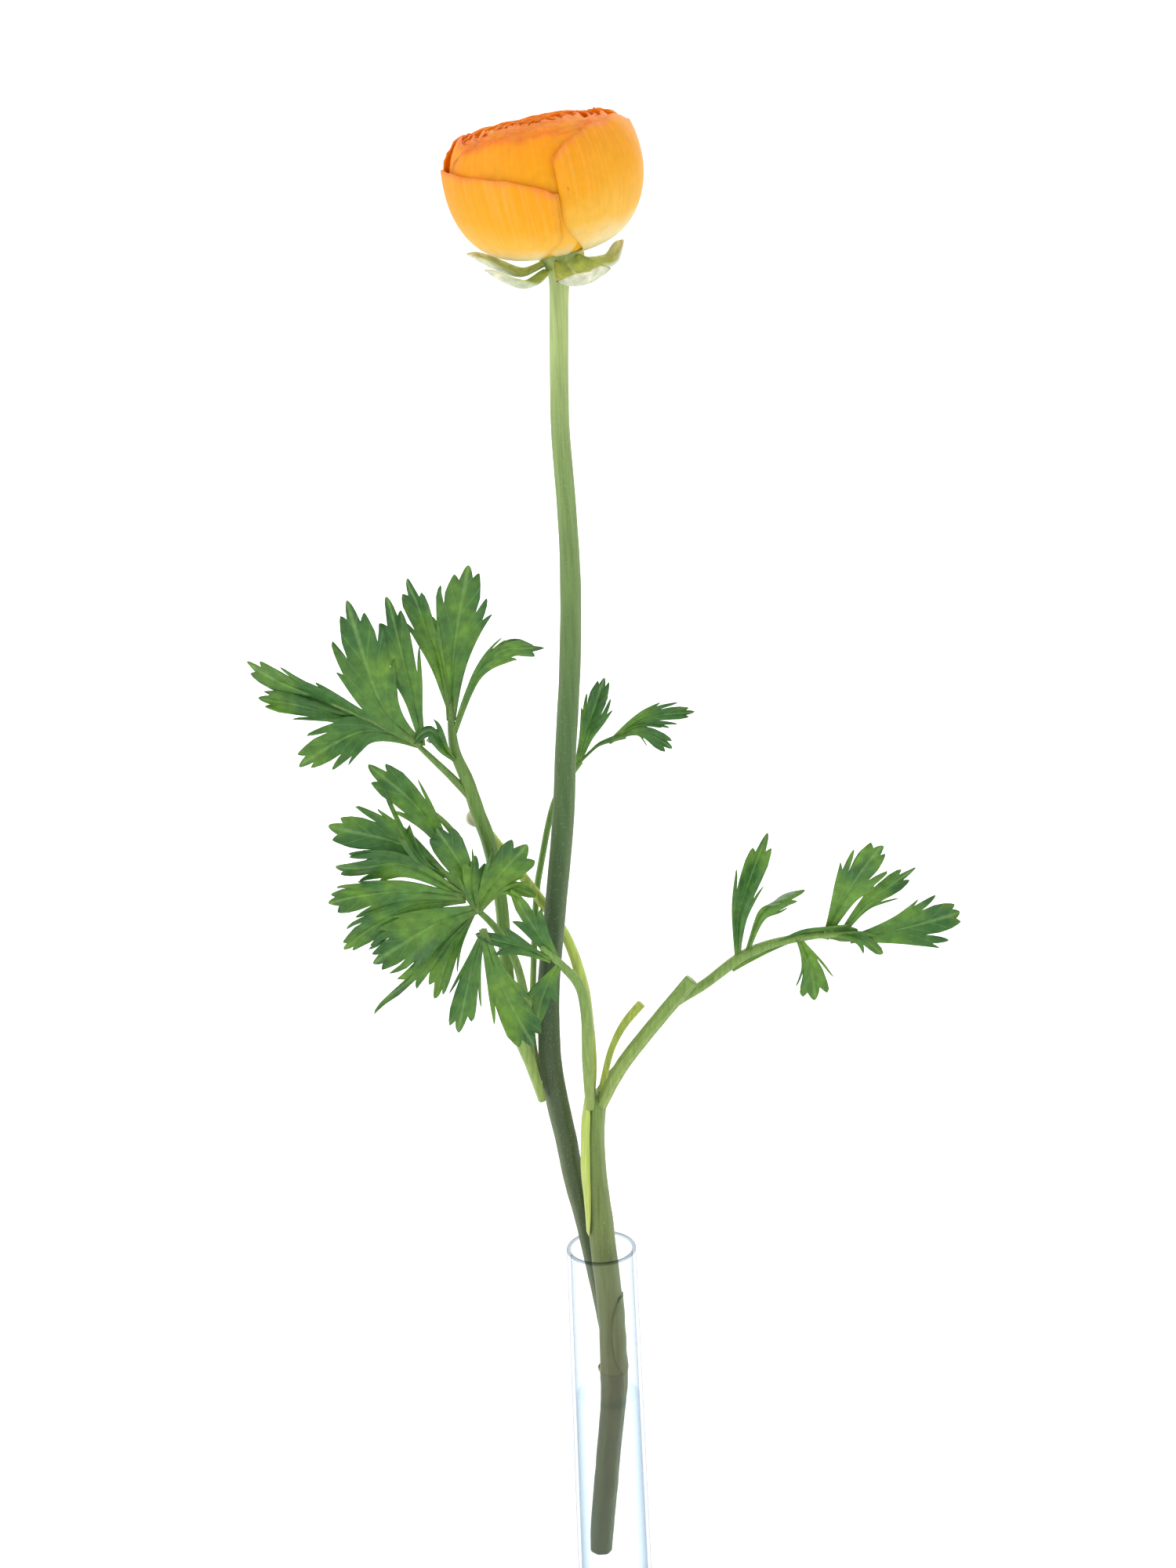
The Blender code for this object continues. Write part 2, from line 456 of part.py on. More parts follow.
def build():
    """Build the whole plant and its vase."""
    clear_scene()
    glass = finish("clear_glass", (0.90, 0.95, 0.97), 0.03, alpha=0.35)
    water = finish("water", (0.88, 0.94, 0.96), 0.03, alpha=0.5)
    stem = finish("stem_green", (0.13, 0.22, 0.07), 0.55)
    stalk = finish("stalk_green", (0.30, 0.42, 0.08), 0.55)
    leaf_green = finish("leaf_green", (0.10, 0.24, 0.05), 0.5)
    sepal_green = finish("sepal_green", (0.45, 0.55, 0.20), 0.6)
    bud_cream = finish("bud_cream", (0.45, 0.40, 0.25), 0.6)
    outer_petal = finish("outer_petal_gold", (0.86, 0.36, 0.03), 0.5)
    inner_petal = finish("inner_petal_orange", (0.88, 0.22, 0.01), 0.5)
    build_vase(glass, water, stem)
    build_stems(stem, stalk)
    build_bud(bud_cream)
    leaf("leaf_upper_left", UPPER_LEAF_STALK, UPPER_LEAF_STALK_RADII, UPPER_LEAF_LOBES, leaf_green)
    leaf("leaf_mid_left", MID_LEAF_STALK, MID_LEAF_STALK_RADII, MID_LEAF_LOBES, leaf_green)
    leaf("leaf_front_low", FRONT_LEAF_STALK, FRONT_LEAF_STALK_RADII, FRONT_LEAF_LOBES, leaf_green)
    leaf("leaf_small_right", SMALL_LEAF_STALK, SMALL_LEAF_STALK_RADII, SMALL_LEAF_LOBES, leaf_green)
    leaf("leaf_right", RIGHT_LEAF_STALK, RIGHT_LEAF_STALK_RADII, RIGHT_LEAF_LOBES, leaf_green)
    build_sepals(sepal_green)
    build_petals(outer_petal, inner_petal)


build()
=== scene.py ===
import logging
import math
import random
from dataclasses import dataclass, field
from enum import Enum
from typing import Callable, Optional, Sequence

import bpy
from mathutils import Matrix, Vector, noise


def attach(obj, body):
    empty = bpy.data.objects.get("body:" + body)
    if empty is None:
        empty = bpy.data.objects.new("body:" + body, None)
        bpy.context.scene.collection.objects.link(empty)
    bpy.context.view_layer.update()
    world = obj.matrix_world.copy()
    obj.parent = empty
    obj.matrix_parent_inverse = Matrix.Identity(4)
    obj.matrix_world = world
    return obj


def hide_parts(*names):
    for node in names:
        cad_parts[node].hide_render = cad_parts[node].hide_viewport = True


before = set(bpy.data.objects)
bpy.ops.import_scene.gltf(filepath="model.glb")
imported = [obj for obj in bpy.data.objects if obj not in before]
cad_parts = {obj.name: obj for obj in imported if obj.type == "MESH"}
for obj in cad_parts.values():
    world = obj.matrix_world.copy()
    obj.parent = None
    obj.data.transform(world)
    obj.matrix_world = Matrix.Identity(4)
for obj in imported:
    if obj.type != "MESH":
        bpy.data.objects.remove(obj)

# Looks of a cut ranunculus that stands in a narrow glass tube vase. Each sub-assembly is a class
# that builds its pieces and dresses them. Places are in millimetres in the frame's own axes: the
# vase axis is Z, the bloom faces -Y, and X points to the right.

logging.basicConfig(level=logging.INFO, format="%(message)s")
LOG = logging.getLogger("ranunculus")

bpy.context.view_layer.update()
MM = 0.001
BODY = "root"

Point = tuple[float, float, float]
Route = Sequence[Point]
GridPoint = tuple[Vector, tuple[float, float]]
GOLDEN_TURN = 137.5


class Slot(Enum):
    """The record's material slots that the pieces are dressed for."""

    CLEAR_GLASS = "clear_glass"
    WATER = "water"
    STEM_GREEN = "stem_green"
    STALK_GREEN = "stalk_green"
    LEAF_GREEN = "leaf_green"
    SEPAL_GREEN = "sepal_green"
    BUD_CREAM = "bud_cream"
    OUTER_PETAL_GOLD = "outer_petal_gold"
    INNER_PETAL_ORANGE = "inner_petal_orange"


# ---------------------------------------------------------------- colour and nodes

def srgb(code: str) -> tuple[float, float, float, float]:
    """Turn an sRGB hex colour into a linear RGBA value.

    Args:
        code: Six hex digits, with or without a leading hash.

    Returns:
        Linear red, green, blue and an alpha of one.
    """
    digits = code.lstrip("#")
    channels = [int(digits[place:place + 2], 16) / 255 for place in (0, 2, 4)]
    linear = [value / 12.92 if value <= 0.04045 else ((value + 0.055) / 1.055) ** 2.4 for value in channels]
    return (linear[0], linear[1], linear[2], 1.0)


def add_node(tree: bpy.types.NodeTree, kind: str, settings: Optional[dict] = None,
             inputs: Optional[dict] = None) -> bpy.types.Node:
    """Add one node with its settings, and set or link its inputs.

    Args:
        tree: The node tree that gets the node.
        kind: Blender's type name of the node.
        settings: Attribute names and values.
        inputs: Input names or numbers, each with a plain value or an output socket to link.

    Returns:
        The new node.
    """
    node = tree.nodes.new(kind)
    for name, value in (settings or {}).items():
        setattr(node, name, value)
    for name, value in (inputs or {}).items():
        if isinstance(value, bpy.types.NodeSocket):
            tree.links.new(value, node.inputs[name])
        else:
            node.inputs[name].default_value = value
    return node


def ramp(tree: bpy.types.NodeTree, factor: bpy.types.NodeSocket,
         stops: Sequence[tuple[float, str]]) -> bpy.types.NodeSocket:
    """Add a colour ramp and return its colour socket.

    Args:
        tree: The node tree.
        factor: The socket that drives the ramp.
        stops: Positions from 0 to 1, each with an sRGB hex colour.

    Returns:
        The ramp's colour output.
    """
    node = add_node(tree, "ShaderNodeValToRGB", inputs={"Fac": factor})
    elements = node.color_ramp.elements
    while len(elements) < len(stops):
        elements.new(0.5)
    for element, (place, code) in zip(elements, stops):
        element.position = place
        element.color = srgb(code)
    return node.outputs["Color"]


def blank_material(name: str) -> tuple[bpy.types.Material, bpy.types.NodeTree]:
    """Make a material with an empty node tree.

    Args:
        name: The material's name.

    Returns:
        The material and its empty node tree.
    """
    material = bpy.data.materials.new(name)
    material.use_nodes = True
    material.node_tree.nodes.clear()
    return material, material.node_tree


@dataclass(frozen=True)
class ThinTissue:
    """Living plant tissue a fraction of a millimetre thick.

    Light passes through it, so it glows against the light, and its waxy skin gives a soft
    broad highlight. Veins run along it as fine pale streaks.
    """

    name: str
    stops: Sequence[tuple[float, str]]
    vein: str
    vein_strength: float = 0.35
    vein_width_mm: float = 0.5
    mottle: float = 0.25
    roughness: float = 0.5
    glow: float = 0.35
    sheen: float = 0.0
    bump_mm: float = 0.12
    midrib: bool = True
    side_veins: float = 0.0
    patches: float = 0.0
    patch: str = "#86B23E"

    def make(self) -> bpy.types.Material:
        """Build the material.

        Returns:
            A mix of a Principled skin and translucent flesh, coloured from base to tip.
        """
        material, tree = blank_material(self.name)
        place = add_node(tree, "ShaderNodeUVMap", {"uv_map": "tissue"}).outputs["UV"]
        split = add_node(tree, "ShaderNodeSeparateXYZ", inputs={0: place})
        where = add_node(tree, "ShaderNodeTexCoord").outputs["Object"]
        wander = add_node(tree, "ShaderNodeTexNoise", inputs={
            "Vector": where,
            "Scale": 1.0 / (9.0 * MM), "Detail": 4.0, "Roughness": 0.6})
        shifted = add_node(tree, "ShaderNodeMath", {"operation": "MULTIPLY_ADD"}, {
            0: wander.outputs["Fac"], 1: 0.24, 2: split.outputs["Y"]})
        centred = add_node(tree, "ShaderNodeMath", {"operation": "SUBTRACT"}, {
            0: shifted.outputs[0], 1: 0.12})
        body = ramp(tree, centred.outputs[0], self.stops)
        streak_scale = add_node(tree, "ShaderNodeVectorMath", {"operation": "MULTIPLY"}, {
            0: place, 1: (12.0 / self.vein_width_mm, 1.6, 1.0)})
        streaks = add_node(tree, "ShaderNodeTexNoise", inputs={
            "Vector": streak_scale.outputs[0], "Scale": 1.0, "Detail": 3.0, "Roughness": 0.55})
        streak_mask = add_node(tree, "ShaderNodeMapRange", inputs={
            "Value": streaks.outputs["Fac"], "From Min": 0.45, "From Max": 0.75,
            "To Min": 0.0, "To Max": self.vein_strength})
        veined = add_node(tree, "ShaderNodeMix", {"data_type": "RGBA"}, {
            0: streak_mask.outputs[0], 6: body, 7: srgb(self.vein)})
        colour = veined.outputs[2]
        if self.midrib:
            across = add_node(tree, "ShaderNodeMath", {"operation": "ABSOLUTE"}, {0: split.outputs["X"]})
            rib = add_node(tree, "ShaderNodeMapRange", inputs={
                "Value": across.outputs[0], "From Min": 0.02, "From Max": 0.09,
                "To Min": 0.65, "To Max": 0.0})
            colour = add_node(tree, "ShaderNodeMix", {"data_type": "RGBA"}, {
                0: rib.outputs[0], 6: colour, 7: srgb(self.vein)}).outputs[2]
        if self.side_veins > 0.0:
            slope = add_node(tree, "ShaderNodeMath", {"operation": "MULTIPLY"}, {
                0: across.outputs[0], 1: -2.6})
            comb = add_node(tree, "ShaderNodeMath", {"operation": "MULTIPLY_ADD"}, {
                0: split.outputs["Y"], 1: self.side_veins, 2: slope.outputs[0]})
            tooth = add_node(tree, "ShaderNodeMath", {"operation": "PINGPONG"}, {0: comb.outputs[0], 1: 0.5})
            line = add_node(tree, "ShaderNodeMapRange", inputs={
                "Value": tooth.outputs[0], "From Min": 0.02, "From Max": 0.07, "To Min": 0.30, "To Max": 0.0})
            colour = add_node(tree, "ShaderNodeMix", {"data_type": "RGBA"}, {
                0: line.outputs[0], 6: colour, 7: srgb(self.vein)}).outputs[2]
        if self.patches > 0.0:
            cloud = add_node(tree, "ShaderNodeTexNoise", inputs={
                "Vector": where,
                "Scale": 1.0 / (13.0 * MM), "Detail": 2.0})
            light = add_node(tree, "ShaderNodeMapRange", inputs={
                "Value": cloud.outputs["Fac"], "From Min": 0.42, "From Max": 0.66,
                "To Min": 0.0, "To Max": self.patches})
            colour = add_node(tree, "ShaderNodeMix", {"data_type": "RGBA"}, {
                0: light.outputs[0], 6: colour, 7: srgb(self.patch)}).outputs[2]
        spots = add_node(tree, "ShaderNodeTexNoise", inputs={
            "Vector": where,
            "Scale": 1.0 / (2.2 * MM), "Detail": 5.0})
        value = add_node(tree, "ShaderNodeMapRange", inputs={
            "Value": spots.outputs["Fac"], "From Min": 0.25, "From Max": 0.75,
            "To Min": 1.0 - self.mottle, "To Max": 1.0 + self.mottle})
        tinted = add_node(tree, "ShaderNodeHueSaturation", inputs={
            "Color": colour, "Value": value.outputs[0]})
        relief = add_node(tree, "ShaderNodeMath", {"operation": "ADD"}, {
            0: streaks.outputs["Fac"], 1: spots.outputs["Fac"]})
        bump = add_node(tree, "ShaderNodeBump", inputs={
            "Strength": 0.45, "Distance": self.bump_mm * MM, "Height": relief.outputs[0]})
        skin = add_node(tree, "ShaderNodeBsdfPrincipled", inputs={
            "Base Color": tinted.outputs[0], "Roughness": self.roughness, "IOR": 1.42,
            "Sheen Weight": self.sheen, "Normal": bump.outputs[0]})
        flesh = add_node(tree, "ShaderNodeBsdfTranslucent", inputs={
            "Color": tinted.outputs[0], "Normal": bump.outputs[0]})
        mixed = add_node(tree, "ShaderNodeMixShader", inputs={
            0: self.glow, 1: skin.outputs[0], 2: flesh.outputs[0]})
        add_node(tree, "ShaderNodeOutputMaterial", inputs={0: mixed.outputs[0]})
        return material


@dataclass(frozen=True)
class StemSkin:
    """Ribbed, finely haired stem skin: a matte green with pale streaks, and edges lightened towards the hair
    colour as a painted sheen.
    """

    name: str
    stops: Sequence[tuple[float, str]]
    low: float
    high: float
    hair_and_sheen: str = "#B4C68C"

    def make(self) -> bpy.types.Material:
        """Build the material, coloured by height between low and high.

        Returns:
            A ribbed, flecked Principled skin whose edges are lightened by a painted sheen.
        """
        material, tree = blank_material(self.name)
        where = add_node(tree, "ShaderNodeTexCoord").outputs["Object"]
        height = add_node(tree, "ShaderNodeSeparateXYZ", inputs={0: where}).outputs["Z"]
        level = add_node(tree, "ShaderNodeMapRange", inputs={
            "Value": height, "From Min": self.low * MM, "From Max": self.high * MM})
        body = ramp(tree, level.outputs[0], self.stops)
        along = add_node(tree, "ShaderNodeVectorMath", {"operation": "MULTIPLY"}, {
            0: where, 1: (1.0 / (0.8 * MM), 1.0 / (0.8 * MM), 1.0 / (14.0 * MM))})
        fibres = add_node(tree, "ShaderNodeTexNoise", inputs={
            "Vector": along.outputs[0], "Scale": 1.0, "Detail": 3.0})
        hairs = add_node(tree, "ShaderNodeTexNoise", inputs={
            "Vector": where, "Scale": 1.0 / (0.55 * MM), "Detail": 2.0})
        fleck = add_node(tree, "ShaderNodeMapRange", inputs={
            "Value": hairs.outputs["Fac"], "From Min": 0.60, "From Max": 0.78,
            "To Min": 0.0, "To Max": 0.22})
        streak = add_node(tree, "ShaderNodeMapRange", inputs={
            "Value": fibres.outputs["Fac"], "From Min": 0.3, "From Max": 0.7,
            "To Min": 0.78, "To Max": 1.22})
        shaded = add_node(tree, "ShaderNodeHueSaturation", inputs={
            "Color": body, "Value": streak.outputs[0]})
        # Painted sheen: where the skin is seen at grazing angles, its colour is mixed towards the pale hair
        # colour.
        painted_edge_tone = add_node(tree, "ShaderNodeLayerWeight", inputs={"Blend": 0.22})
        flecked = add_node(tree, "ShaderNodeMix", {"data_type": "RGBA"}, {
            0: fleck.outputs[0], 6: shaded.outputs[0], 7: srgb(self.hair_and_sheen)})
        rim = add_node(tree, "ShaderNodeMath", {"operation": "MULTIPLY"}, {
            0: painted_edge_tone.outputs["Facing"], 1: 0.28})
        with_painted_edge_sheen = add_node(tree, "ShaderNodeMix", {"data_type": "RGBA"}, {
            0: rim.outputs[0], 6: flecked.outputs[2], 7: srgb(self.hair_and_sheen)})
        bump = add_node(tree, "ShaderNodeBump", inputs={
            "Strength": 0.5, "Distance": 0.2 * MM, "Height": fibres.outputs["Fac"]})
        skin = add_node(tree, "ShaderNodeBsdfPrincipled", inputs={
            "Base Color": with_painted_edge_sheen.outputs[2], "Roughness": 0.6, "Sheen Weight": 0.08,
            "Subsurface Weight": 0.12, "Subsurface Scale": 1.5 * MM, "Normal": bump.outputs[0]})
        skin.inputs["Subsurface Radius"].default_value = (0.6, 1.0, 0.2)
        add_node(tree, "ShaderNodeOutputMaterial", inputs={0: skin.outputs[0]})
        return material


@dataclass(frozen=True)
class ClearBody:
    """Thin drawn glass, or the still water in it, whose light passes nearly straight through.

    The passing light carries its edges as painted shade that stands in for refraction: a cool tint where the
    wall is seen steeply, turning grey at grazing angles, and a darker lip. A weak mirror of the room grows at
    grazing angles.
    """

    name: str
    tint: str
    painted_edge_tone: str
    rim: str
    ior: float
    roughness: float = 0.02
    ripple_mm: float = 0.0
    lip_shade_from_mm: float = 134.1
    lip_shade_strength: float = 0.8

    def make(self) -> bpy.types.Material:
        """Build the material, with very slight drawing marks in its surface.

        Returns:
            A mix of clear passage, tinted by painted shade at its edges and lip, and a mirror that grows at
            grazing angles.
        """
        material, tree = blank_material(self.name)
        where = add_node(tree, "ShaderNodeTexCoord").outputs["Object"]
        stretched = add_node(tree, "ShaderNodeVectorMath", {"operation": "MULTIPLY"}, {
            0: where, 1: (1.0 / (6.0 * MM), 1.0 / (6.0 * MM), 1.0 / (60.0 * MM))})
        marks = add_node(tree, "ShaderNodeTexNoise", inputs={
            "Vector": stretched.outputs[0], "Scale": 1.0, "Detail": 1.0})
        bump = add_node(tree, "ShaderNodeBump", inputs={
            "Strength": 0.15, "Distance": self.ripple_mm * MM, "Height": marks.outputs["Fac"]})
        # Painted shade: the passing light is tinted cool, then grey, as the surface turns to grazing angles.
        # This stands in for refraction at the edges.
        facing = add_node(tree, "ShaderNodeLayerWeight", inputs={"Blend": 0.5}).outputs["Facing"]
        tint = ramp(tree, facing, [(0.0, "#FFFFFF"), (0.4, self.tint), (0.8, self.painted_edge_tone), (1.0, self.rim)])
        # Painted shade: a darker band over the top of the lip, or along the water's surface line.
        height = add_node(tree, "ShaderNodeSeparateXYZ", inputs={0: where}).outputs["Z"]
        lip = add_node(tree, "ShaderNodeMapRange", inputs={
            "Value": height, "From Min": self.lip_shade_from_mm * MM, "From Max": (self.lip_shade_from_mm + 0.4) * MM,
            "To Min": 0.0, "To Max": self.lip_shade_strength})
        tint = add_node(tree, "ShaderNodeMix", {"data_type": "RGBA"}, {
            0: lip.outputs[0], 6: tint, 7: srgb(self.rim)}).outputs[2]
        head_on = ((self.ior - 1.0) / (self.ior + 1.0)) ** 2
        steep = add_node(tree, "ShaderNodeMath", {"operation": "POWER"}, {0: facing, 1: 5.0})
        share = add_node(tree, "ShaderNodeMath", {"operation": "MULTIPLY_ADD"}, {
            0: steep.outputs[0], 1: 0.5 * (1.0 - head_on), 2: 0.3 * head_on})
        passed = add_node(tree, "ShaderNodeBsdfTransparent", inputs={"Color": tint})
        shine = add_node(tree, "ShaderNodeBsdfGlossy", inputs={
            "Roughness": self.roughness, "Normal": bump.outputs[0]})
        body = add_node(tree, "ShaderNodeMixShader", inputs={
            0: share.outputs[0], 1: passed.outputs[0], 2: shine.outputs[0]})
        add_node(tree, "ShaderNodeOutputMaterial", inputs={0: body.outputs[0]})
        return material


# ---------------------------------------------------------------- mesh helpers

def along(points: Route, share: float) -> Vector:
    """Give a point of a smooth curve through evenly spaced points.

    Args:
        points: The points that the curve passes through.
        share: How far along it, from 0 to 1.

    Returns:
        The point on the curve.
    """
    spans = len(points) - 1
    place = min(max(share, 0.0), 1.0) * spans
    index = min(int(place), spans - 1)
    t = place - index
    before = Vector(points[max(index - 1, 0)])
    start, end = Vector(points[index]), Vector(points[index + 1])
    after = Vector(points[min(index + 2, spans)])
    return 0.5 * (2 * start + (end - before) * t + (2 * before - 5 * start + 4 * end - after) * t * t
                  + (3 * start - before - 3 * end + after) * t ** 3)


def heading(points: Route, share: float) -> Vector:
    """Give the direction of the curve at a share of its way.

    Args:
        points: The points that the curve passes through.
        share: How far along it, from 0 to 1.

    Returns:
        A unit vector that points along the curve.
    """
    return (along(points, share + 0.01) - along(points, share - 0.01)).normalized()


def value_along(values: Sequence[float], share: float) -> float:
    """Read a smooth value at a share of the way through a list.

    Args:
        values: Evenly spaced values.
        share: How far through them, from 0 to 1.

    Returns:
        The value there.
    """
    return along([(value, 0.0, 0.0) for value in values], share).x


def route_length(points: Route) -> float:
    """Give the length of a route.

    Args:
        points: The points of the route.

    Returns:
        The sum of its straight spans.
    """
    return sum((Vector(end) - Vector(start)).length for start, end in zip(points, points[1:]))


def ring_axes(points: Route, share: float) -> tuple[Vector, Vector, Vector]:
    """Give the centre and the two axes of a ring round a route.

    Args:
        points: The points of the route.
        share: How far along it, from 0 to 1.

    Returns:
        The centre, the axis to its side and the axis in depth.
    """
    forward = heading(points, share)
    side = Vector((0.0, 1.0, 0.0)).cross(forward).normalized()
    return along(points, share), side, forward.cross(side)


@dataclass
class Sheet:
    """Points and faces of one mesh, gathered before they become an object."""

    points: list[Vector] = field(default_factory=list)
    faces: list[list[int]] = field(default_factory=list)
    places: list[tuple[float, float]] = field(default_factory=list)

    def grid(self, columns: int, rows: int, at: Callable[[int, int], GridPoint],
             wrap: bool = False) -> int:
        """Add a grid of points and its quads.

        Args:
            columns: Points across.
            rows: Points along.
            at: Gives the point and its tissue place for a column and a row.
            wrap: Whether the last column joins the first.

        Returns:
            The number of the grid's first point.
        """
        first = len(self.points)
        for row in range(rows):
            for column in range(columns):
                point, place = at(column, row)
                self.points.append(point)
                self.places.append(place)
        for row in range(rows - 1):
            for column in range(columns if wrap else columns - 1):
                here = first + row * columns + column
                there = first + row * columns + (column + 1) % columns
                self.faces.append([here, there, there + columns, here + columns])
        return first

    def cap(self, first: int, count: int) -> None:
        """Close a ring of points with a fan round their centre.

        Args:
            first: The number of the ring's first point.
            count: How many points the ring has.
        """
        middle = sum((self.points[first + step] for step in range(count)), Vector()) / count
        self.points.append(middle)
        self.places.append((0.0, 0.5))
        centre = len(self.points) - 1
        for step in range(count):
            self.faces.append([first + step, first + (step + 1) % count, centre])

    def tube(self, route: Route, radii: Sequence[float], sides: int = 20, rings: int = 60,
             ribs: float = 0.03, depths: Optional[Sequence[float]] = None, seed: float = 0.0,
             closed: bool = True) -> None:
        """Loft a ribbed, slightly uneven stem along a route.

        Args:
            route: Points that the stem follows.
            radii: Radii spread evenly along it.
            sides: Points round it.
            rings: Rings along it.
            ribs: Height of the lengthwise ribs as a share of the radius.
            depths: How much its section is stretched along Y.
            seed: Shifts the unevenness.
            closed: Whether both ends are capped.
        """
        depths = depths or [1.0] * len(radii)

        def at(column: int, row: int) -> GridPoint:
            """Give one point of the grid.

            Args:
                column: Number of the point across.
                row: Number of the point along.

            Returns:
                The point in millimetres, and its place on the tissue.
            """
            share = row / (rings - 1)
            centre, side, deep = ring_axes(route, share)
            turn = 2 * math.pi * column / sides
            lump = noise.noise(Vector((share * len(route) * 2.2, seed, math.cos(turn))))
            radius = value_along(radii, share) * (1 + ribs * math.cos(7 * turn + seed) + 0.035 * lump)
            depth = value_along(depths, share)
            point = centre + side * radius * math.cos(turn) + deep * radius * depth * math.sin(turn)
            return point, (math.cos(turn), share)

        first = self.grid(sides, rings, at, wrap=True)
        if closed:
            self.cap(first, sides)
            self.cap(first + (rings - 1) * sides, sides)

    def make(self, name: str, materials: Sequence[bpy.types.Material], slot: str,
             replaces: Sequence[str] = (), thickness: float = 0.0) -> bpy.types.Object:
        """Turn the gathered mesh into a piece that rides on the plant's body.

        Args:
            name: The piece's name.
            materials: Its materials; a second one dresses the underside of a thin sheet.
            slot: The record's material slot; not used.
            replaces: CAD nodes that the piece stands for.
            thickness: Sheet thickness in millimetres, or zero for a closed mesh.

        Returns:
            The new object.
        """
        mesh = bpy.data.meshes.new(name)
        mesh.from_pydata([point * MM for point in self.points], [], self.faces)
        layer = mesh.uv_layers.new(name="tissue")
        for loop in mesh.loops:
            layer.data[loop.index].uv = self.places[loop.vertex_index]
        for material in materials:
            mesh.materials.append(material)
        mesh.shade_smooth()
        piece = bpy.data.objects.new(name, mesh)
        bpy.context.scene.collection.objects.link(piece)
        if thickness > 0.0:
            shell = piece.modifiers.new("thickness", "SOLIDIFY")
            shell.thickness = thickness * MM
            shell.offset = 0.0
            shell.material_offset = len(materials) - 1
        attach(piece, BODY)
        if replaces:
            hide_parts(*replaces)
        LOG.info("%s: %d points", name, len(self.points))
        return piece


# ---------------------------------------------------------------- leaves

@dataclass(frozen=True)
class Lobe:
    """One toothed lobe of a leaf, widening from a narrow foot to its toothed end."""

    route: Route
    half_width: float
    teeth: int = 5
    cup: float = 0.18
    twist: float = 0.0
    shoulder: float = 0.30


@dataclass
class DividedLeaf:
    """A leaf grown in one piece: its channelled stalk, and the lobes it divides into."""

    name: str
    stalk: Route
    radii: Sequence[float]
    lobes: Sequence[Lobe]
    waviness: float = 1.0
    facing: Point = (0.0, -1.0, 0.15)
    rows: int = 22
    thickness: float = 0.34
    branches: Sequence[Route] = ()

    def tooth_line(self, lobe: Lobe, chance: random.Random) -> list[tuple[float, float]]:
        """Lay out the teeth along a lobe's end.

        Args:
            lobe: The lobe.
            chance: Seeded random numbers.

        Returns:
            Pairs of a place across the lobe, from -1 to 1, and how far along it the edge lies.
        """
        length = route_length(lobe.route)
        line: list[tuple[float, float]] = []
        for tooth in range(lobe.teeth):
            middle = -1.0 + 2.0 * tooth / (lobe.teeth - 1)
            jitter = 0.0 if tooth in (0, lobe.teeth - 1) else chance.uniform(-0.06, 0.06)
            reach = 1.0 - lobe.shoulder * abs(middle) ** 1.35 + chance.uniform(-0.04, 0.02)
            if line:
                before = line[-1]
                between_parts = (tooth - lobe.teeth // 2) % 3 == 2
                depth = chance.uniform(3.4, 5.6) if between_parts else chance.uniform(0.9, 1.8)
                line.append(((before[0] + middle + jitter) / 2, min(before[1], reach) - depth / length))
            line.append((middle + jitter, min(reach, 1.0)))
        fine: list[tuple[float, float]] = []
        for start, end in zip(line, line[1:]):
            rising = end[1] > start[1]
            for step in range(4):
                part = step / 4
                rounded = 1 - (1 - part) ** 1.6 if rising else part ** 1.6
                fine.append((start[0] + (end[0] - start[0]) * part, start[1] + (end[1] - start[1]) * rounded))
        fine.append(line[-1])
        return fine

    def add_lobe(self, sheet: Sheet, lobe: Lobe, chance: random.Random) -> None:
        """Add one lobe's curved surface to the sheet.

        Args:
            sheet: The mesh being gathered.
            lobe: The lobe.
            chance: Seeded random numbers.
        """
        line = self.tooth_line(lobe, chance)
        seed = chance.uniform(0.0, 50.0)
        tilt = Vector((chance.uniform(-0.5, 0.5), 0.0, chance.uniform(-0.4, 0.5)))
        outer = (Vector(self.facing) + tilt).normalized()
        roll = lobe.twist + chance.uniform(-0.6, 0.6)
        length = route_length(lobe.route)

        def at(column: int, row: int) -> GridPoint:
            """Give one point of the grid.

            Args:
                column: Number of the point across.
                row: Number of the point along.

            Returns:
                The point in millimetres, and its place on the tissue.
            """
            across, reach = line[column]
            share = reach * row / (self.rows - 1)
            centre = along(lobe.route, share)
            forward = heading(lobe.route, share)
            side = forward.cross(outer).normalized()
            turn = Matrix.Rotation(roll * share, 3, forward)
            side = turn @ side
            normal = side.cross(forward).normalized()
            widen = min(1.0, share / 0.80)
            width = 1.2 * lobe.half_width * (0.13 + 0.87 * widen ** 1.9)
            narrow = 1.0 - 0.35 * max(0.0, (share - 0.8) / 0.2) * abs(across)
            wave = noise.noise(Vector((share * length / 11.0, across * 1.3, seed)))
            lift = lobe.cup * width * abs(across) ** 1.3
            ripple = math.sin(9.0 * share + seed)
            lift += self.waviness * (2.2 * wave * widen + 0.5 * ripple * across * widen)
            groove = -0.35 * math.exp(-(across / 0.12) ** 2)
            point = centre + side * (across * width * narrow) + normal * (lift + groove)
            return point, (across, share)

        sheet.grid(len(line), self.rows, at)

    def build(self, top: bpy.types.Material, under: bpy.types.Material,
              stalk_skin: bpy.types.Material) -> None:
        """Build the leaf's lobes and its stalk as two pieces.

        Args:
            top: Finish of the upper face.
            under: Finish of the underside.
            stalk_skin: Finish of the stalk.
        """
        chance = random.Random(self.name)
        blades = Sheet()
        for lobe in self.lobes:
            self.add_lobe(blades, lobe, chance)
        blades.make(f"{self.name}_blades", [top, under], Slot.LEAF_GREEN.value, [self.name], self.thickness)
        stem = Sheet()
        stem.tube(self.stalk, self.radii, sides=16, rings=70, ribs=0.10, seed=chance.uniform(0.0, 9.0))
        for branch in self.branches:
            stem.tube(branch, [1.2, 1.0, 0.8, 0.5], sides=12, rings=24, ribs=0.10)
        stem.make(f"{self.name}_stalk", [stalk_skin], Slot.STALK_GREEN.value)


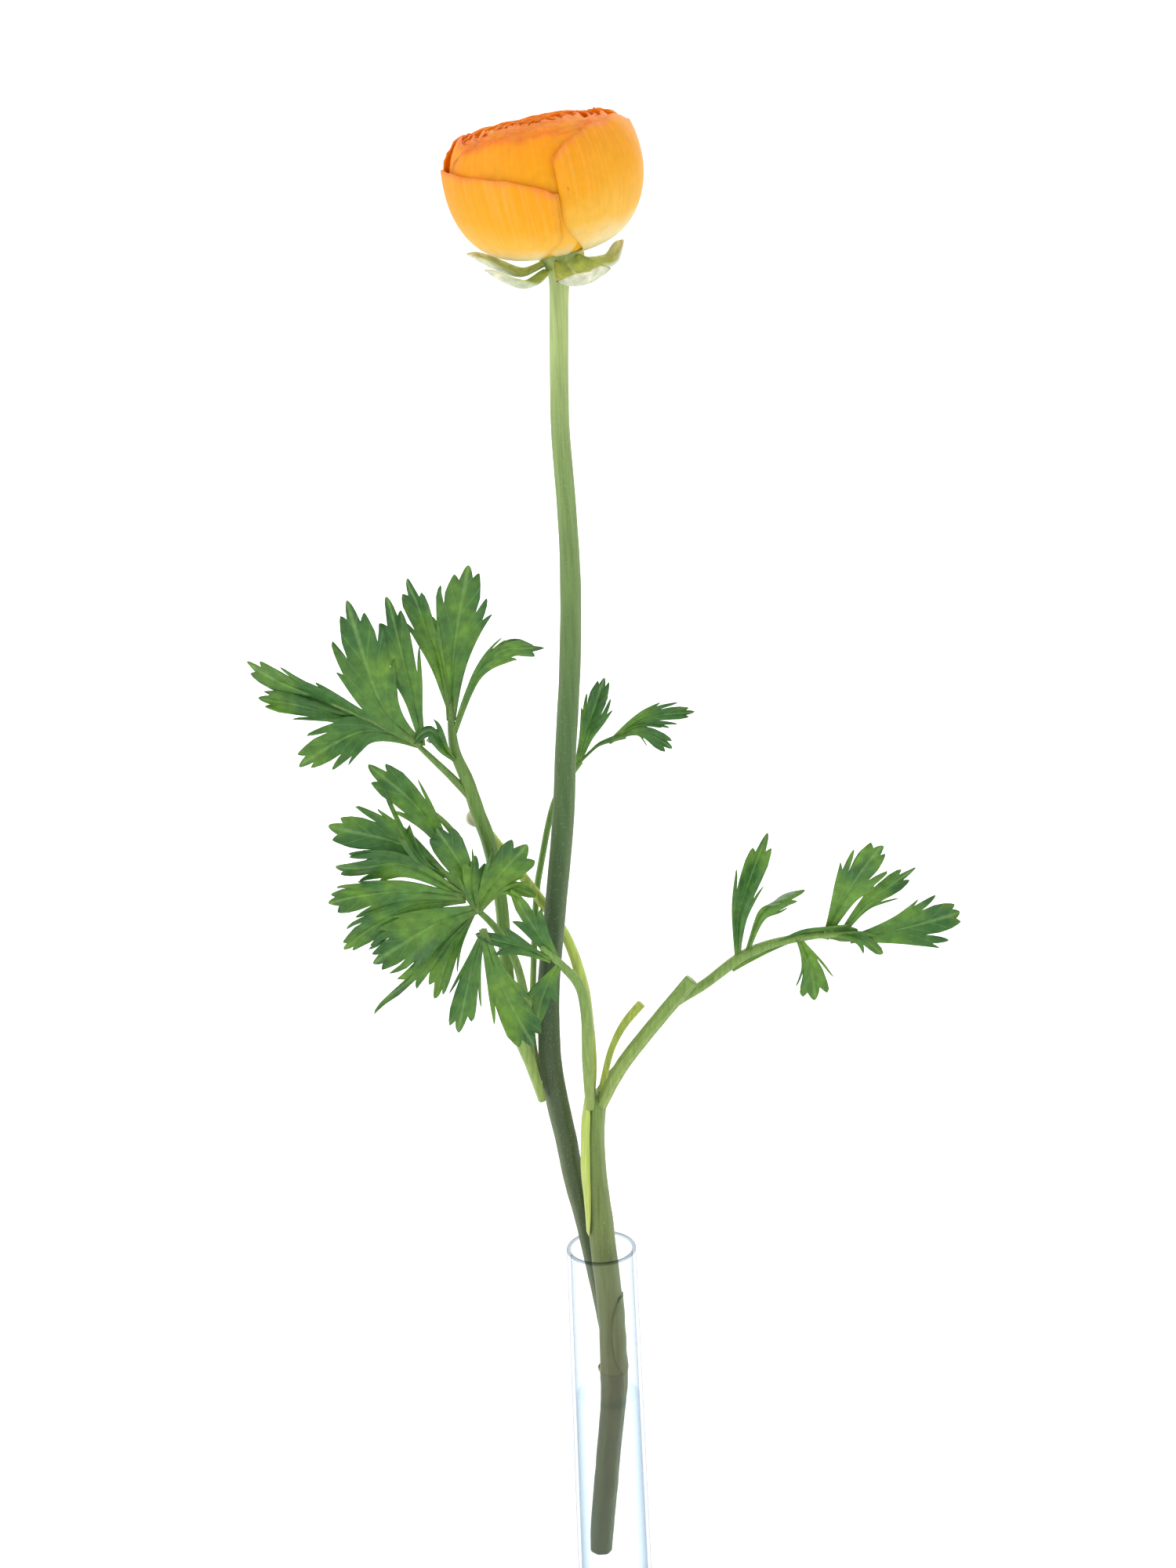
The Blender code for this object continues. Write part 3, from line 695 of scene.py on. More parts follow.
UPPER_LEFT = DividedLeaf(
    "leaf_upper_left",
    [(-14.9, -1.6, 183.4), (-17.5, -3.6, 195), (-21, -4.6, 207), (-22.6, -3.6, 216),
     (-23.2, -1.6, 232), (-23.8, -1, 246), (-26, -2.6, 262), (-28.7, -3.6, 272),
     (-31, -3.6, 281), (-34, -3, 290), (-34.6, -2.4, 303)],
    [1.2, 1.6, 1.9, 1.9, 1.8, 1.8, 2, 2, 1.8, 1.4, 0.7],
    [Lobe([(-34.5, -2.4, 298), (-32.5, -3, 318), (-27.5, -4, 341.5)], 8.3, 7),
     Lobe([(-34.4, -2.4, 300), (-38.5, -4, 320), (-44, -5.5, 339)], 5.6, 5),
     Lobe([(-34, -2.6, 294), (-27, -4.5, 311), (-18, -6, 318.5), (-8.5, -7, 318)], 4.6, 5,
          twist=0.9),
     Lobe([(-33.4, -3, 286), (-36.5, -6.5, 291), (-40, -7.5, 297), (-45, -5, 292.5)], 3.6, 3,
          twist=1.2),
     Lobe([(-42.5, -5, 292), (-44.5, -6, 308), (-49.5, -7, 334.5)], 5.4, 5),
     Lobe([(-43.5, -5, 292.6), (-53, -8, 306), (-60, -10, 335)], 8.6, 7),
     Lobe([(-43.5, -5, 292.6), (-62, -7, 303), (-87.5, -9, 319)], 7.6, 7),
     Lobe([(-45.5, -5, 294.6), (-66, -7.5, 303), (-86, -9, 309)], 4, 5),
     Lobe([(-43.5, -5, 292.4), (-58, -7, 297.5), (-76, -9, 289)], 7.2, 7)],
    branches=([(-29.5, -3.6, 275), (-35, -4, 282), (-41, -4.8, 289), (-47, -5.8, 296)],
              [(-43, -5, 292.5), (-50, -6, 297), (-58, -7.2, 302), (-66, -8, 306)]))

MID_LEFT = DividedLeaf(
    "leaf_mid_left",
    [(-16, 1.4, 185.2), (-17.8, 0.6, 195), (-18.6, -0.4, 205), (-18.4, -3, 215),
     (-20.4, -7.4, 229), (-25, -10, 239.5), (-30, -11, 246)],
    [1, 1.3, 1.5, 1.3, 1.1, 1, 0.8],
    [Lobe([(-36, -8.5, 258), (-40, -8.5, 268), (-47, -8, 278), (-57.5, -8, 288)], 6, 5),
     Lobe([(-38, -10.5, 256), (-50, -11, 266), (-69, -11, 272)], 8, 7),
     Lobe([(-38, -10.5, 256), (-46, -13, 264), (-53, -13.5, 283.5)], 2.6, 3, twist=1.1),
     Lobe([(-33, -11.5, 250), (-50, -12, 260.5), (-68.5, -12, 259.5)], 6.6, 7),
     Lobe([(-33, -11.5, 250), (-52, -12.5, 253), (-71, -11, 249)], 6.5, 7),
     Lobe([(-33, -11, 249), (-50, -11.5, 247), (-67.5, -11, 236)], 6, 7),
     Lobe([(-30, -11.4, 245.6), (-33, -12.5, 258), (-40, -13, 272)], 6.8, 5),
     Lobe([(-30, -11.4, 245.6), (-31, -14, 254), (-29.5, -14, 263)], 5, 5),
     Lobe([(-30, -11.4, 245.6), (-24, -13.5, 256), (-15, -12.5, 265)], 7.6, 5, cup=0.3),
     Lobe([(-30, -11.4, 245.6), (-22, -12.8, 253), (-13.5, -11, 249)], 4, 3, cup=0.5),
     Lobe([(-29.6, -11.6, 246.6), (-42, -13.5, 243), (-60, -13.5, 232)], 8.6, 9),
     Lobe([(-29.8, -11.6, 246.4), (-43, -13, 234), (-59.8, -12.5, 216.5)], 3.8, 3),
     Lobe([(-30.4, -11.4, 246.6), (-37, -12, 236), (-43.5, -11.5, 220)], 4.8, 5)],
    branches=([(-29.5, -11, 245.5), (-33, -10.8, 251), (-38, -10.4, 256.5), (-43, -10.2, 261)],
              [(-29.5, -11, 245.5), (-33, -8.5, 262), (-37, -8.5, 270), (-42, -8, 275)]))

FRONT_LOW = DividedLeaf(
    "leaf_front_low",
    [(-1.5, -4.6, 181.6), (-1.6, -7.4, 197), (-1.4, -9.6, 211.5), (-2.8, -11.2, 222),
     (-7.7, -13, 229.6), (-13, -15, 236)],
    [1.3, 1.55, 1.55, 1.4, 1.1, 0.7],
    [Lobe([(-7.4, -13, 228.8), (-13, -15.2, 239), (-20.5, -16, 253.5)], 4.6, 3, cup=-0.1),
     Lobe([(-10.5, -14.2, 231.2), (-19, -16.8, 237), (-31, -18, 241.5)], 4.2, 3),
     Lobe([(-28, -17.8, 243), (-32.5, -18.2, 230), (-37, -18, 212.5)], 5, 5),
     Lobe([(-28.5, -17.8, 243), (-24, -18.8, 226), (-16, -19, 207.5)], 7, 5),
     Lobe([(-8, -13.6, 230), (-12, -15, 223.5), (-15.5, -15, 212.5)], 5.4, 3, cup=-0.2)])

SMALL_RIGHT = DividedLeaf(
    "leaf_small_right",
    [(-15.4, 4.4, 186.6), (-17, 6, 200.7), (-16.1, 8.4, 216), (-14.2, 9.2, 239.7),
     (-12.3, 9.2, 251), (-8.3, 9.2, 267.6), (-4.3, 9, 275), (0, 8, 281)],
    [0.85, 0.85, 0.85, 0.85, 0.85, 0.85, 0.85, 0.7],
    [Lobe([(-1.4, 8.3, 279), (2.5, 7, 291), (7.5, 5.5, 305.5)], 4.6, 7),
     Lobe([(-0.8, 8.1, 280.2), (5, 7, 286), (12, 6.5, 288.5), (17, 6.3, 292)], 1.4, 3),
     Lobe([(8, 7, 286.6), (18, 6, 293.5), (31.8, 5, 295)], 3.8, 7),
     Lobe([(8, 7, 286.8), (17, 5.5, 290), (25.5, 4.5, 284.5)], 3.6, 5)])

RIGHT = DividedLeaf(
    "leaf_right",
    [(0.3, 2.5, 181.6), (4.2, 3.4, 187), (9.6, 3.6, 193), (21.2, 2.6, 207.6),
     (32.4, 1.2, 215.9), (43.6, 0, 224.6), (54.6, 0, 228.4), (69.3, 0, 229.8), (79, 0, 227.6)],
    [1, 1.2, 1.3, 1.3, 1.4, 1.5, 1.2, 0.9, 0.5],
    [Lobe([(41.5, 0, 222.5), (43, -1.5, 240), (50.5, -3, 262)], 4.6, 5, cup=0.4, twist=0.5),
     Lobe([(44, 0, 225), (48, -4, 238), (53, -6.5, 243), (60, -5, 246)], 3.8, 5,
          cup=0.6, twist=0.8),
     Lobe([(40, 0.3, 220), (58, -0.4, 229.5), (76, -0.6, 231)], 3, 3, shoulder=0.1),
     Lobe([(66, 0, 228.5), (72.5, -1, 243), (82, -2, 256.5)], 7.2, 7),
     Lobe([(70, 0, 229), (79, 2, 239), (92, 3.5, 247)], 4.4, 5),
     Lobe([(73, 0, 228), (88, -2, 231.5), (104, -3, 236)], 7.8, 7),
     Lobe([(68, 0, 230), (76, -2, 229), (82, -2.5, 224)], 3.6, 3),
     Lobe([(58.5, -0.4, 229.5), (62, -2.5, 221), (63, -4, 211.5)], 6.2, 5)])


# ---------------------------------------------------------------- flower head

@dataclass
class FlowerHead:
    """The globe of overlapping petals on its leaning axis, with sepals folded back below."""

    base: Point = (-0.2, 0.0, 421.7)
    lean: float = math.radians(8.0)
    radius: float = 25.6
    waist: float = 21.0
    crown: float = 15.6
    petal_count: int = 46
    step: float = 0.47
    foot_radius: float = 5.8
    foot_step: float = 0.09
    foot_height: float = 0.9
    foot_rise: float = 0.24
    crown_step: float = 0.055
    lower_rounding: float = 0.8
    upper_rounding: float = 0.40
    ruffle: float = 1.1
    columns: int = 25
    rows: int = 22

    def carry(self) -> Matrix:
        """Place the head's own frame in the shared frame.

        Returns:
            The matrix from the head's frame to the shared frame, in millimetres.
        """
        return Matrix.Translation(Vector(self.base)) @ Matrix.Rotation(-self.lean, 4, "Y")

    def bowl(self, depth: float, bearing: float, angle: float, swell: float) -> Vector:
        """Give a point of the nested bowls.

        Args:
            depth: How many petals lie outside this bowl.
            bearing: Angle round the head's axis.
            angle: From -90 degrees at the foot through 0 at the waist to the top.
            swell: Distance outwards from the plain bowl.

        Returns:
            The point in the head's own frame.
        """
        foot_radius = max(self.foot_radius - self.foot_step * depth, 1.2)
        foot_height = self.foot_height + self.foot_rise * depth
        waist = self.radius - self.step * depth + swell
        rounding = max(math.cos(angle), 0.0) ** (self.lower_rounding if angle < 0.0 else self.upper_rounding)
        if angle < 0.0:
            radius = foot_radius + (waist - foot_radius) * rounding
            height = self.waist + (self.waist - foot_height) * math.sin(angle)
        else:
            radius = waist * rounding
            height = self.waist + (self.crown - self.crown_step * depth) * math.sin(angle)
        return Vector((radius * math.cos(bearing), radius * math.sin(bearing), height))

    def petal(self, name: str, depth: float, bearing: float, half_angle: float, top: float,
              dress: Sequence[bpy.types.Material], slot: str, replaces: Sequence[str],
              slant: float = 0.0, flare: float = 0.0) -> None:
        """Build one cupped petal with a ruffled margin.

        Args:
            name: The piece's name.
            depth: How many petals lie outside it.
            bearing: Its middle, as an angle round the head's axis.
            half_angle: Half its spread.
            top: The angle that its margin reaches.
            dress: Outer and inner finish.
            slot: The record's material slot.
            replaces: CAD nodes that it stands for.
            slant: How much higher its margin is on one side.
            flare: How far its margin rolls outwards, in millimetres.
        """
        carry = self.carry()
        seed = depth * 3.7
        sheet = Sheet()

        def at(column: int, row: int) -> GridPoint:
            """Give one point of the grid.

            Args:
                column: Number of the point across.
                row: Number of the point along.

            Returns:
                The point in millimetres, and its place on the tissue.
            """
            across = 2 * column / (self.columns - 1) - 1
            rise = row / (self.rows - 1)
            widen = min(1.0, rise * 1.7)
            spread = half_angle * (0.42 + 0.58 * widen * widen * (3 - 2 * widen))
            notch = 1.0 - 0.16 * abs(across) ** 3 + slant * across
            notch += 0.035 * noise.noise(Vector((across * 3.5, seed, 1.0)))
            notch += 0.02 * noise.noise(Vector((across * 12.0, seed, 4.0)))
            start = math.radians(-90.0)
            angle = start + (top - start) * rise * min(notch, 1.03)
            ruffle = max(0.0, rise - 0.72) / 0.28
            swell = 0.20 * noise.noise(Vector((across * 2.5, rise * 2.5, seed)))
            swell += ruffle * ruffle * self.ruffle * noise.noise(Vector((across * 6.0, seed, 7.0)))
            swell += 0.10 * across + flare * ruffle * ruffle
            place = self.bowl(depth, bearing + spread * across, angle, swell)
            return carry @ place, (across, rise)

        sheet.grid(self.columns, self.rows, at)
        sheet.make(name, dress, slot, replaces, 0.32)

    def build(self, outer: Sequence[bpy.types.Material], inner: Sequence[bpy.types.Material]) -> None:
        """Build the outer petals and the spiral of petals inside them.

        Args:
            outer: Finishes of the outer petals, outer face first.
            inner: Finishes of the inner petals, outer face first.
        """
        guards = [(-145.0, 61.0, 19.0, -0.08, 0.35), (-38.0, 44.0, 50.0, 0.02, 0.2),
                  (48.0, 45.0, 46.0, 0.0, 0.3), (134.0, 46.0, 50.0, 0.0, 0.4)]
        for number, (bearing, spread, top, slant, flare) in enumerate(guards, start=1):
            self.petal(f"guard_petal_{number}", 0.35 * (number - 1), math.radians(bearing),
                       math.radians(spread), math.radians(top), outer, Slot.OUTER_PETAL_GOLD.value,
                       [f"outer_petal_{number}"], slant, flare)
        self.petal("tucked_petal", 1.0, math.radians(-84.0), math.radians(13.0), math.radians(-6.0), outer,
                   Slot.OUTER_PETAL_GOLD.value, [], 0.10, 0.2)
        nodes = sorted(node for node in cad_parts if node.startswith("whorl_"))
        chance = random.Random(11)
        for number in range(self.petal_count):
            depth = 2.0 + number
            fade = number / self.petal_count
            bearing = math.radians(-98.0 + GOLDEN_TURN * number)
            spread = math.radians(62.0 - 8.0 * fade + chance.uniform(-4.0, 4.0))
            top = math.radians(52.0 + 32.0 * fade + chance.uniform(-3.0, 3.0))
            stands_for = [nodes[number]] if number < len(nodes) else []
            self.petal(f"inner_petal_{number + 1:02d}", depth, bearing, spread, top, inner,
                       Slot.INNER_PETAL_ORANGE.value, stands_for)


@dataclass
class Sepals:
    """Five hairy sepals, folded back and curling up at their tips."""

    head: FlowerHead
    layout: Sequence[tuple[float, Sequence[tuple[float, float]], float]] = (
        (180.0, ((3.6, -2.0), (10.0, -3.8), (16.0, -0.8), (23.0, 4.4)), 4.2),
        (-146.0, ((3.6, -3.4), (9.5, -5.8), (16.0, -3.8), (22.4, 1.4)), 3.2),
        (-62.0, ((3.6, -1.4), (8.5, -5.2), (12.5, -6.8), (16.4, -3.2)), 6.2),
        (12.0, ((3.6, -2.0), (9.5, -5.0), (14.5, -4.8), (17.4, 0.2)), 4.8),
        (88.0, ((3.6, -2.0), (9.5, -4.6), (15.0, -3.8), (19.4, 0.6)), 4.6))

    def build(self, face: bpy.types.Material, back: bpy.types.Material) -> None:
        """Build each sepal as a curled pointed blade.

        Args:
            face: Finish of the smooth upper face.
            back: Finish of the hairy back.
        """
        carry = self.head.carry()
        up = carry.to_3x3() @ Vector((0.0, 0.0, 1.0))
        columns, rows = 11, 20
        for number, (bearing, profile, half_width) in enumerate(self.layout, start=1):
            turn = math.radians(bearing)
            route = [tuple(carry @ Vector((out * math.cos(turn), out * math.sin(turn), height)))
                     for out, height in profile]
            sheet = Sheet()

            def at(column: int, row: int) -> GridPoint:
                """Give one point of the grid.

                Args:
                    column: Number of the point across.
                    row: Number of the point along.

                Returns:
                    The point in millimetres, and its place on the tissue.
                """
                across = 2 * column / (columns - 1) - 1
                share = row / (rows - 1)
                forward = heading(route, share)
                side = forward.cross(up).normalized()
                normal = side.cross(forward).normalized()
                width = 1.5 * half_width * (0.45 + 1.5 * share) * (1 - share ** 2.4) ** 0.7 / 1.25 + 0.15
                curl = 0.30 * width * across * across + 0.5 * noise.noise(
                    Vector((share * 3.0, across * 1.5, number * 5.0)))
                return along(route, share) + side * across * width + normal * curl, (across, share)

            sheet.grid(columns, rows, at)
            sheet.make(f"sepal_blade_{number}", [face, back], Slot.SEPAL_GREEN.value, [f"sepal_{number}"],
                       0.4)


# ---------------------------------------------------------------- stems, bud and vase

@dataclass(frozen=True)
class Stem:
    """One stem or stalk: its route, radii and the CAD node that it stands for."""

    node: str
    route: Route
    radii: Sequence[float]
    slot: str
    ribs: float = 0.03
    rings: int = 90
    depths: Optional[Sequence[float]] = None

    def build(self, skin: bpy.types.Material) -> None:
        """Build the stem as a fine ribbed loft.

        Args:
            skin: Its finish.
        """
        sheet = Sheet()
        sheet.tube(self.route, self.radii, sides=28, rings=self.rings, ribs=self.ribs, depths=self.depths,
                   seed=len(self.node) * 1.3)
        sheet.make(f"{self.node}_fine", [skin], self.slot, [self.node])


LOWER_STEM = Stem("lower_stem", [(-3.9, -3.6, 35.2), (-3.4, -3.6, 42.4), (-1.9, -3.6, 56),
                                 (-0.4, -3.5, 69.4), (1.2, -3.3, 82.6), (2, -2, 91), (2, -0.7, 95.9)],
                  [3.2, 3.5, 3.6, 3.6, 3.7, 4, 4.1], Slot.STEM_GREEN.value,
                  depths=[1, 1, 1, 1, 1.05, 1.25, 1.6])
SIDE_SHOOT = Stem("side_shoot_stem", [(2, -3.9, 96.3), (2, -3.8, 110), (1.6, -3.5, 122),
                                      (0.7, -3.2, 134.2), (-0.1, -3, 146.8), (-0.9, -2.5, 159),
                                      (-0.9, -2, 171.3), (0.1, -1.2, 180.9), (0.3, -1.2, 184.5)],
                  [3.9, 3.7, 3.7, 3.7, 3.6, 3.4, 3.1, 2.9, 2.2], Slot.STEM_GREEN.value,
                  depths=[1, 1, 1, 1, 1, 1, 1.1, 1.5, 1.5])
FLOWER_STEM = Stem("flower_stem", [(1.6, 3.1, 96.3), (1.1, 3.5, 106), (-0.6, 4.2, 118),
                                   (-2.4, 4.5, 130), (-4.6, 4.5, 143), (-7.1, 4, 156),
                                   (-8.8, 3, 169), (-10.9, 2, 182), (-12.2, 1, 195),
                                   (-12.1, 1, 207), (-11.5, 1, 219), (-8.5, 0, 243),
                                   (-5.6, 0, 266), (-3.8, 0, 289), (-1.8, 0, 311),
                                   (-0.7, 0, 333), (-0.8, 0, 354), (-1.6, 0, 375.6),
                                   (-1.1, 0, 396), (-0.3, 0, 414), (-0.2, 0, 418.5),
                                   (-0.2, 0, 422), (-1, 0, 427)],
                   [2.6, 2.7, 2.8, 2.9, 2.9, 3, 3.1, 3.2, 3.2, 3.1, 3.1, 3, 3, 2.9, 2.9, 2.8, 2.6,
                    2.5, 2.45, 2.6, 3.5, 5, 3.4], Slot.STEM_GREEN.value, rings=200)
BARE_STALKS = (
    Stem("bud_stalk", [(-1.4, -0.9, 181.6), (-0.6, 2.4, 192.6), (-1, 5.6, 204), (-2.3, 6.6, 215.7),
                       (-6.2, 6.2, 229.8), (-13.2, 5.6, 242), (-20.9, 4.6, 254.5), (-27.6, 3.3, 265.4)],
         [1.2, 1.5, 1.5, 1.6, 1.4, 1.4, 1.2, 1], Slot.STALK_GREEN.value, ribs=0.06),
    Stem("broken_leaf_stalk", [(1.7, -3.5, 181.6), (5.2, -4.4, 189.5), (9.5, -5, 196.8),
                               (18.7, -5, 208.4), (28.3, -5, 219.9)],
         [1.5, 1.8, 1.9, 1.9, 1.9], Slot.STALK_GREEN.value, ribs=0.08),
    Stem("torn_stalk_stub", [(1.5, 0.1, 181.6), (3.2, 0.6, 190), (5.6, 0.9, 198), (9.3, 1, 204.9),
                             (14.2, 1, 210.7)],
         [1, 0.9, 0.9, 1.1, 1.2], Slot.STALK_GREEN.value, ribs=0.12))


@dataclass(frozen=True)
class Sheath:
    """A thin leaf sheath that clasps part of a stem and stands off it along its edges."""

    name: str
    stem: Stem
    start: float
    end: float
    middle: float
    half_turn: float
    lift: float

    def build(self, skin: bpy.types.Material) -> None:
        """Build the sheath as a curved strip over the stem's surface.

        Args:
            skin: Its finish.
        """
        sheet = Sheet()
        columns, rows = 15, 40

        def at(column: int, row: int) -> GridPoint:
            """Give one point of the grid.

            Args:
                column: Number of the point across.
                row: Number of the point along.

            Returns:
                The point in millimetres, and its place on the tissue.
            """
            across = 2 * column / (columns - 1) - 1
            rise = row / (rows - 1)
            share = self.start + (self.end - self.start) * rise
            centre, side, deep = ring_axes(self.stem.route, share)
            taper = math.sin(math.pi * min(max(rise * 0.9 + 0.05, 0.0), 1.0)) ** 0.5
            turn = math.radians(self.middle + self.half_turn * across * taper)
            radius = value_along(self.stem.radii, share) * 1.03 + self.lift * (0.35 + 0.65 * abs(across))
            radius += 0.2 * noise.noise(Vector((rise * 6.0, across, self.middle)))
            depth = value_along(self.stem.depths or [1.0, 1.0], share)
            point = centre + side * radius * math.cos(turn) + deep * radius * depth * math.sin(turn)
            return point, (across, rise)

        sheet.grid(columns, rows, at)
        sheet.make(self.name, [skin], Slot.STALK_GREEN.value, (), 0.3)


@dataclass
class Bud:
    """The small round side bud, wrapped in overlapping cream bracts."""

    centre: Point = (-29.6, 2.6, 267.8)
    radius: float = 2.8
    bracts: int = 5

    def build(self, skin: bpy.types.Material) -> None:
        """Build the bud as a lobed ball whose bracts swirl to a blunt tip.

        Args:
            skin: Its finish.
        """
        sheet = Sheet()
        sides, rows = 40, 24
        middle = Vector(self.centre)

        def at(column: int, row: int) -> GridPoint:
            """Give one point of the grid.

            Args:
                column: Number of the point across.
                row: Number of the point along.

            Returns:
                The point in millimetres, and its place on the tissue.
            """
            turn = 2 * math.pi * column / sides
            fall = math.pi * (0.02 + 0.96 * row / (rows - 1))
            swirl = ((self.bracts * turn / (2 * math.pi) + 1.4 * fall / math.pi) % 1.0)
            radius = self.radius * (0.93 + 0.09 * swirl) * (1 - 0.10 * math.cos(fall) ** 2)
            direction = Vector((math.sin(fall) * math.cos(turn), math.sin(fall) * math.sin(turn),
                                -math.cos(fall)))
            return middle + direction * radius, (math.cos(turn), row / rows)

        first = sheet.grid(sides, rows, at, wrap=True)
        sheet.cap(first, sides)
        sheet.cap(first + (rows - 1) * sides, sides)
        sheet.make("side_bud", [skin], Slot.BUD_CREAM.value, ["flower_bud"])


@dataclass
class Vase:
    """A drawn glass tube on a plain round foot, with the water that stands in it."""

    rim: float = 135.0
    rim_bore: float = 9.0
    low_bore: float = 10.1
    wall: float = 1.1
    floor: float = 9.0
    bore_start: float = 14.0
    foot: float = 28.0
    level: float = 86.5
    sides: int = 128

    def bore(self, height: float) -> float:
        """Give the bore's radius at a height.

        Args:
            height: Height over the table, in millimetres.

        Returns:
            The radius in millimetres.
        """
        share = (height - self.bore_start) / (self.rim - self.bore_start)
        return self.low_bore + (self.rim_bore - self.low_bore) * share

    def turn(self, profile: Sequence[tuple[float, float]], name: str, glass: bpy.types.Material,
             slot: str, node: str) -> None:
        """Turn a profile round the vase axis into a closed piece.

        Args:
            profile: Pairs of radius and height, from one end on the axis to the other.
            name: The piece's name.
            glass: Its finish.
            slot: The record's material slot.
            node: The CAD node that it stands for.
        """
        sheet = Sheet()

        def at(column: int, row: int) -> GridPoint:
            """Give one point of the grid.

            Args:
                column: Number of the point across.
                row: Number of the point along.

            Returns:
                The point in millimetres, and its place on the tissue.
            """
            angle = 2 * math.pi * column / self.sides
            radius, height = profile[row]
            return Vector((radius * math.cos(angle), radius * math.sin(angle), height)), (0.0, 0.0)

        first = sheet.grid(self.sides, len(profile), at, wrap=True)
        sheet.cap(first, self.sides)
        sheet.cap(first + (len(profile) - 1) * self.sides, self.sides)
        piece = sheet.make(name, [glass], slot, [node])
        piece.data.set_sharp_from_angle(angle=math.radians(35))

    def build(self, glass: bpy.types.Material, water: bpy.types.Material) -> None:
        """Build the glass and the water.

        Args:
            glass: Finish of the vase.
            water: Finish of the water.
        """
        lip = [(self.rim_bore + self.wall / 2 + self.wall / 2 * math.cos(turn),
                self.rim - self.wall / 2 + self.wall / 2 * math.sin(turn))
               for turn in (math.pi * step / 8 for step in range(9))]
        heights = [self.bore_start + 2 + step * (self.rim - self.bore_start - 4) / 12 for step in range(13)]
        outside = [(0.5, 0.0), (self.foot - 1.0, 0.0), (self.foot - 0.2, 0.4), (self.foot, 1.0),
                   (self.foot - 0.2, 1.9), (self.foot - 0.9, 2.7), (23.0, 3.4), (19.0, 4.5), (15.5, 6.0),
                   (13.2, 8.0), (12.0, 10.5), (self.low_bore + self.wall + 0.1, 13.0)]
        outside += [(self.bore(height) + self.wall, height) for height in heights]
        inside = [(self.bore(height), height) for height in reversed(heights)]
        inside += [(self.low_bore - 0.2, 12.5), (self.low_bore - 0.9, 10.8), (self.low_bore - 2.3, 9.5),
                   (self.low_bore - 4.5, self.floor), (0.5, self.floor)]
        self.turn(outside + lip + inside, "glass_tube", glass, Slot.CLEAR_GLASS.value, "glass_vase")
        gap = 0.25
        pool = [(0.5, self.floor + 0.2), (self.low_bore - 4.6, self.floor + 0.2),
                (self.low_bore - 2.5, 9.8), (self.low_bore - 1.2, 11.0), (self.low_bore - 0.5, 12.7)]
        pool += [(self.bore(height) - gap, height) for height in (16.0, 40.0, 60.0, 80.0, self.level - 0.2)]
        pool += [(self.bore(self.level) - gap - 0.15, self.level), (0.5, self.level)]
        self.turn(pool, "still_water", water, Slot.WATER.value, "water")


# ---------------------------------------------------------------- studio

@dataclass
class Studio:
    """A pale seamless floor, soft light from all round and a camera in front and above."""

    eye: Point = (1.755, -750.0, 540.6)
    pitch: float = math.radians(19.35)
    roll: float = math.radians(2.4)
    lens: float = 66.67

    def camera(self) -> None:
        """Place the camera, looking down a little, with its small roll."""
        ahead = Vector((0.0, math.cos(self.pitch), -math.sin(self.pitch)))
        up = Vector((0.0, math.sin(self.pitch), math.cos(self.pitch)))
        right = Vector((1.0, 0.0, 0.0))
        rolled_up = up * math.cos(self.roll) + right * math.sin(self.roll)
        rolled_right = right * math.cos(self.roll) - up * math.sin(self.roll)
        data = bpy.data.cameras.new("studio_camera")
        data.lens = self.lens
        data.sensor_width = 36.0
        data.clip_end = 100.0
        view = bpy.data.objects.new("studio_camera", data)
        view.matrix_world = Matrix.Translation(Vector(self.eye) * MM) @ Matrix(
            (rolled_right, rolled_up, -ahead)).transposed().to_4x4()
        bpy.context.scene.collection.objects.link(view)
        bpy.context.scene.camera = view

    def lamp(self, name: str, place: Point, target: Point, size: float, power: float) -> None:
        """Hang one square soft light.

        Args:
            name: The light's name.
            place: Where it hangs, in metres.
            target: Where it points, in metres.
            size: Its side, in metres.
            power: Its power, in watts.
        """
        data = bpy.data.lights.new(name, "AREA")
        data.size = size
        data.energy = power
        lamp = bpy.data.objects.new(name, data)
        lamp.location = place
        lamp.rotation_euler = (Vector(target) - Vector(place)).to_track_quat("-Z", "Y").to_euler()
        bpy.context.scene.collection.objects.link(lamp)

    def build(self) -> None:
        """Set up the floor, the light and the camera."""
        scene = bpy.context.scene
        scene.view_settings.view_transform = "Standard"
        world = bpy.data.worlds.new("white_room")
        world.use_nodes = True
        world.node_tree.nodes["Background"].inputs["Color"].default_value = (1.0, 1.0, 1.0, 1.0)
        world.node_tree.nodes["Background"].inputs["Strength"].default_value = 1.0
        scene.world = world
        mesh = bpy.data.meshes.new("studio_floor")
        reach = 30.0
        drop = -0.0005
        mesh.from_pydata([(-reach, -reach, drop), (reach, -reach, drop), (reach, reach, drop),
                          (-reach, reach, drop)], [], [[0, 1, 2, 3]])
        floor = bpy.data.objects.new("studio_floor", mesh)
        material, tree = blank_material("pale_paper_floor")
        paper = add_node(tree, "ShaderNodeBsdfPrincipled", inputs={
            "Base Color": (0.9, 0.9, 0.9, 1.0), "Roughness": 0.9, "Emission Color": (1.0, 1.0, 1.0, 1.0),
            "Emission Strength": 0.35})
        add_node(tree, "ShaderNodeOutputMaterial", inputs={0: paper.outputs[0]})
        mesh.materials.append(material)
        scene.collection.objects.link(floor)
        self.lamp("back_softbox", (0.3, 1.6, 0.9), (0.0, 0.0, 0.3), 1.6, 14.0)
        self.lamp("left_softbox", (-1.3, -0.6, 0.9), (0.0, 0.0, 0.3), 0.9, 6.0)
        self.lamp("right_softbox", (1.3, -0.7, 0.8), (0.0, 0.0, 0.3), 0.9, 3.0)
        self.camera()


# ---------------------------------------------------------------- finishes

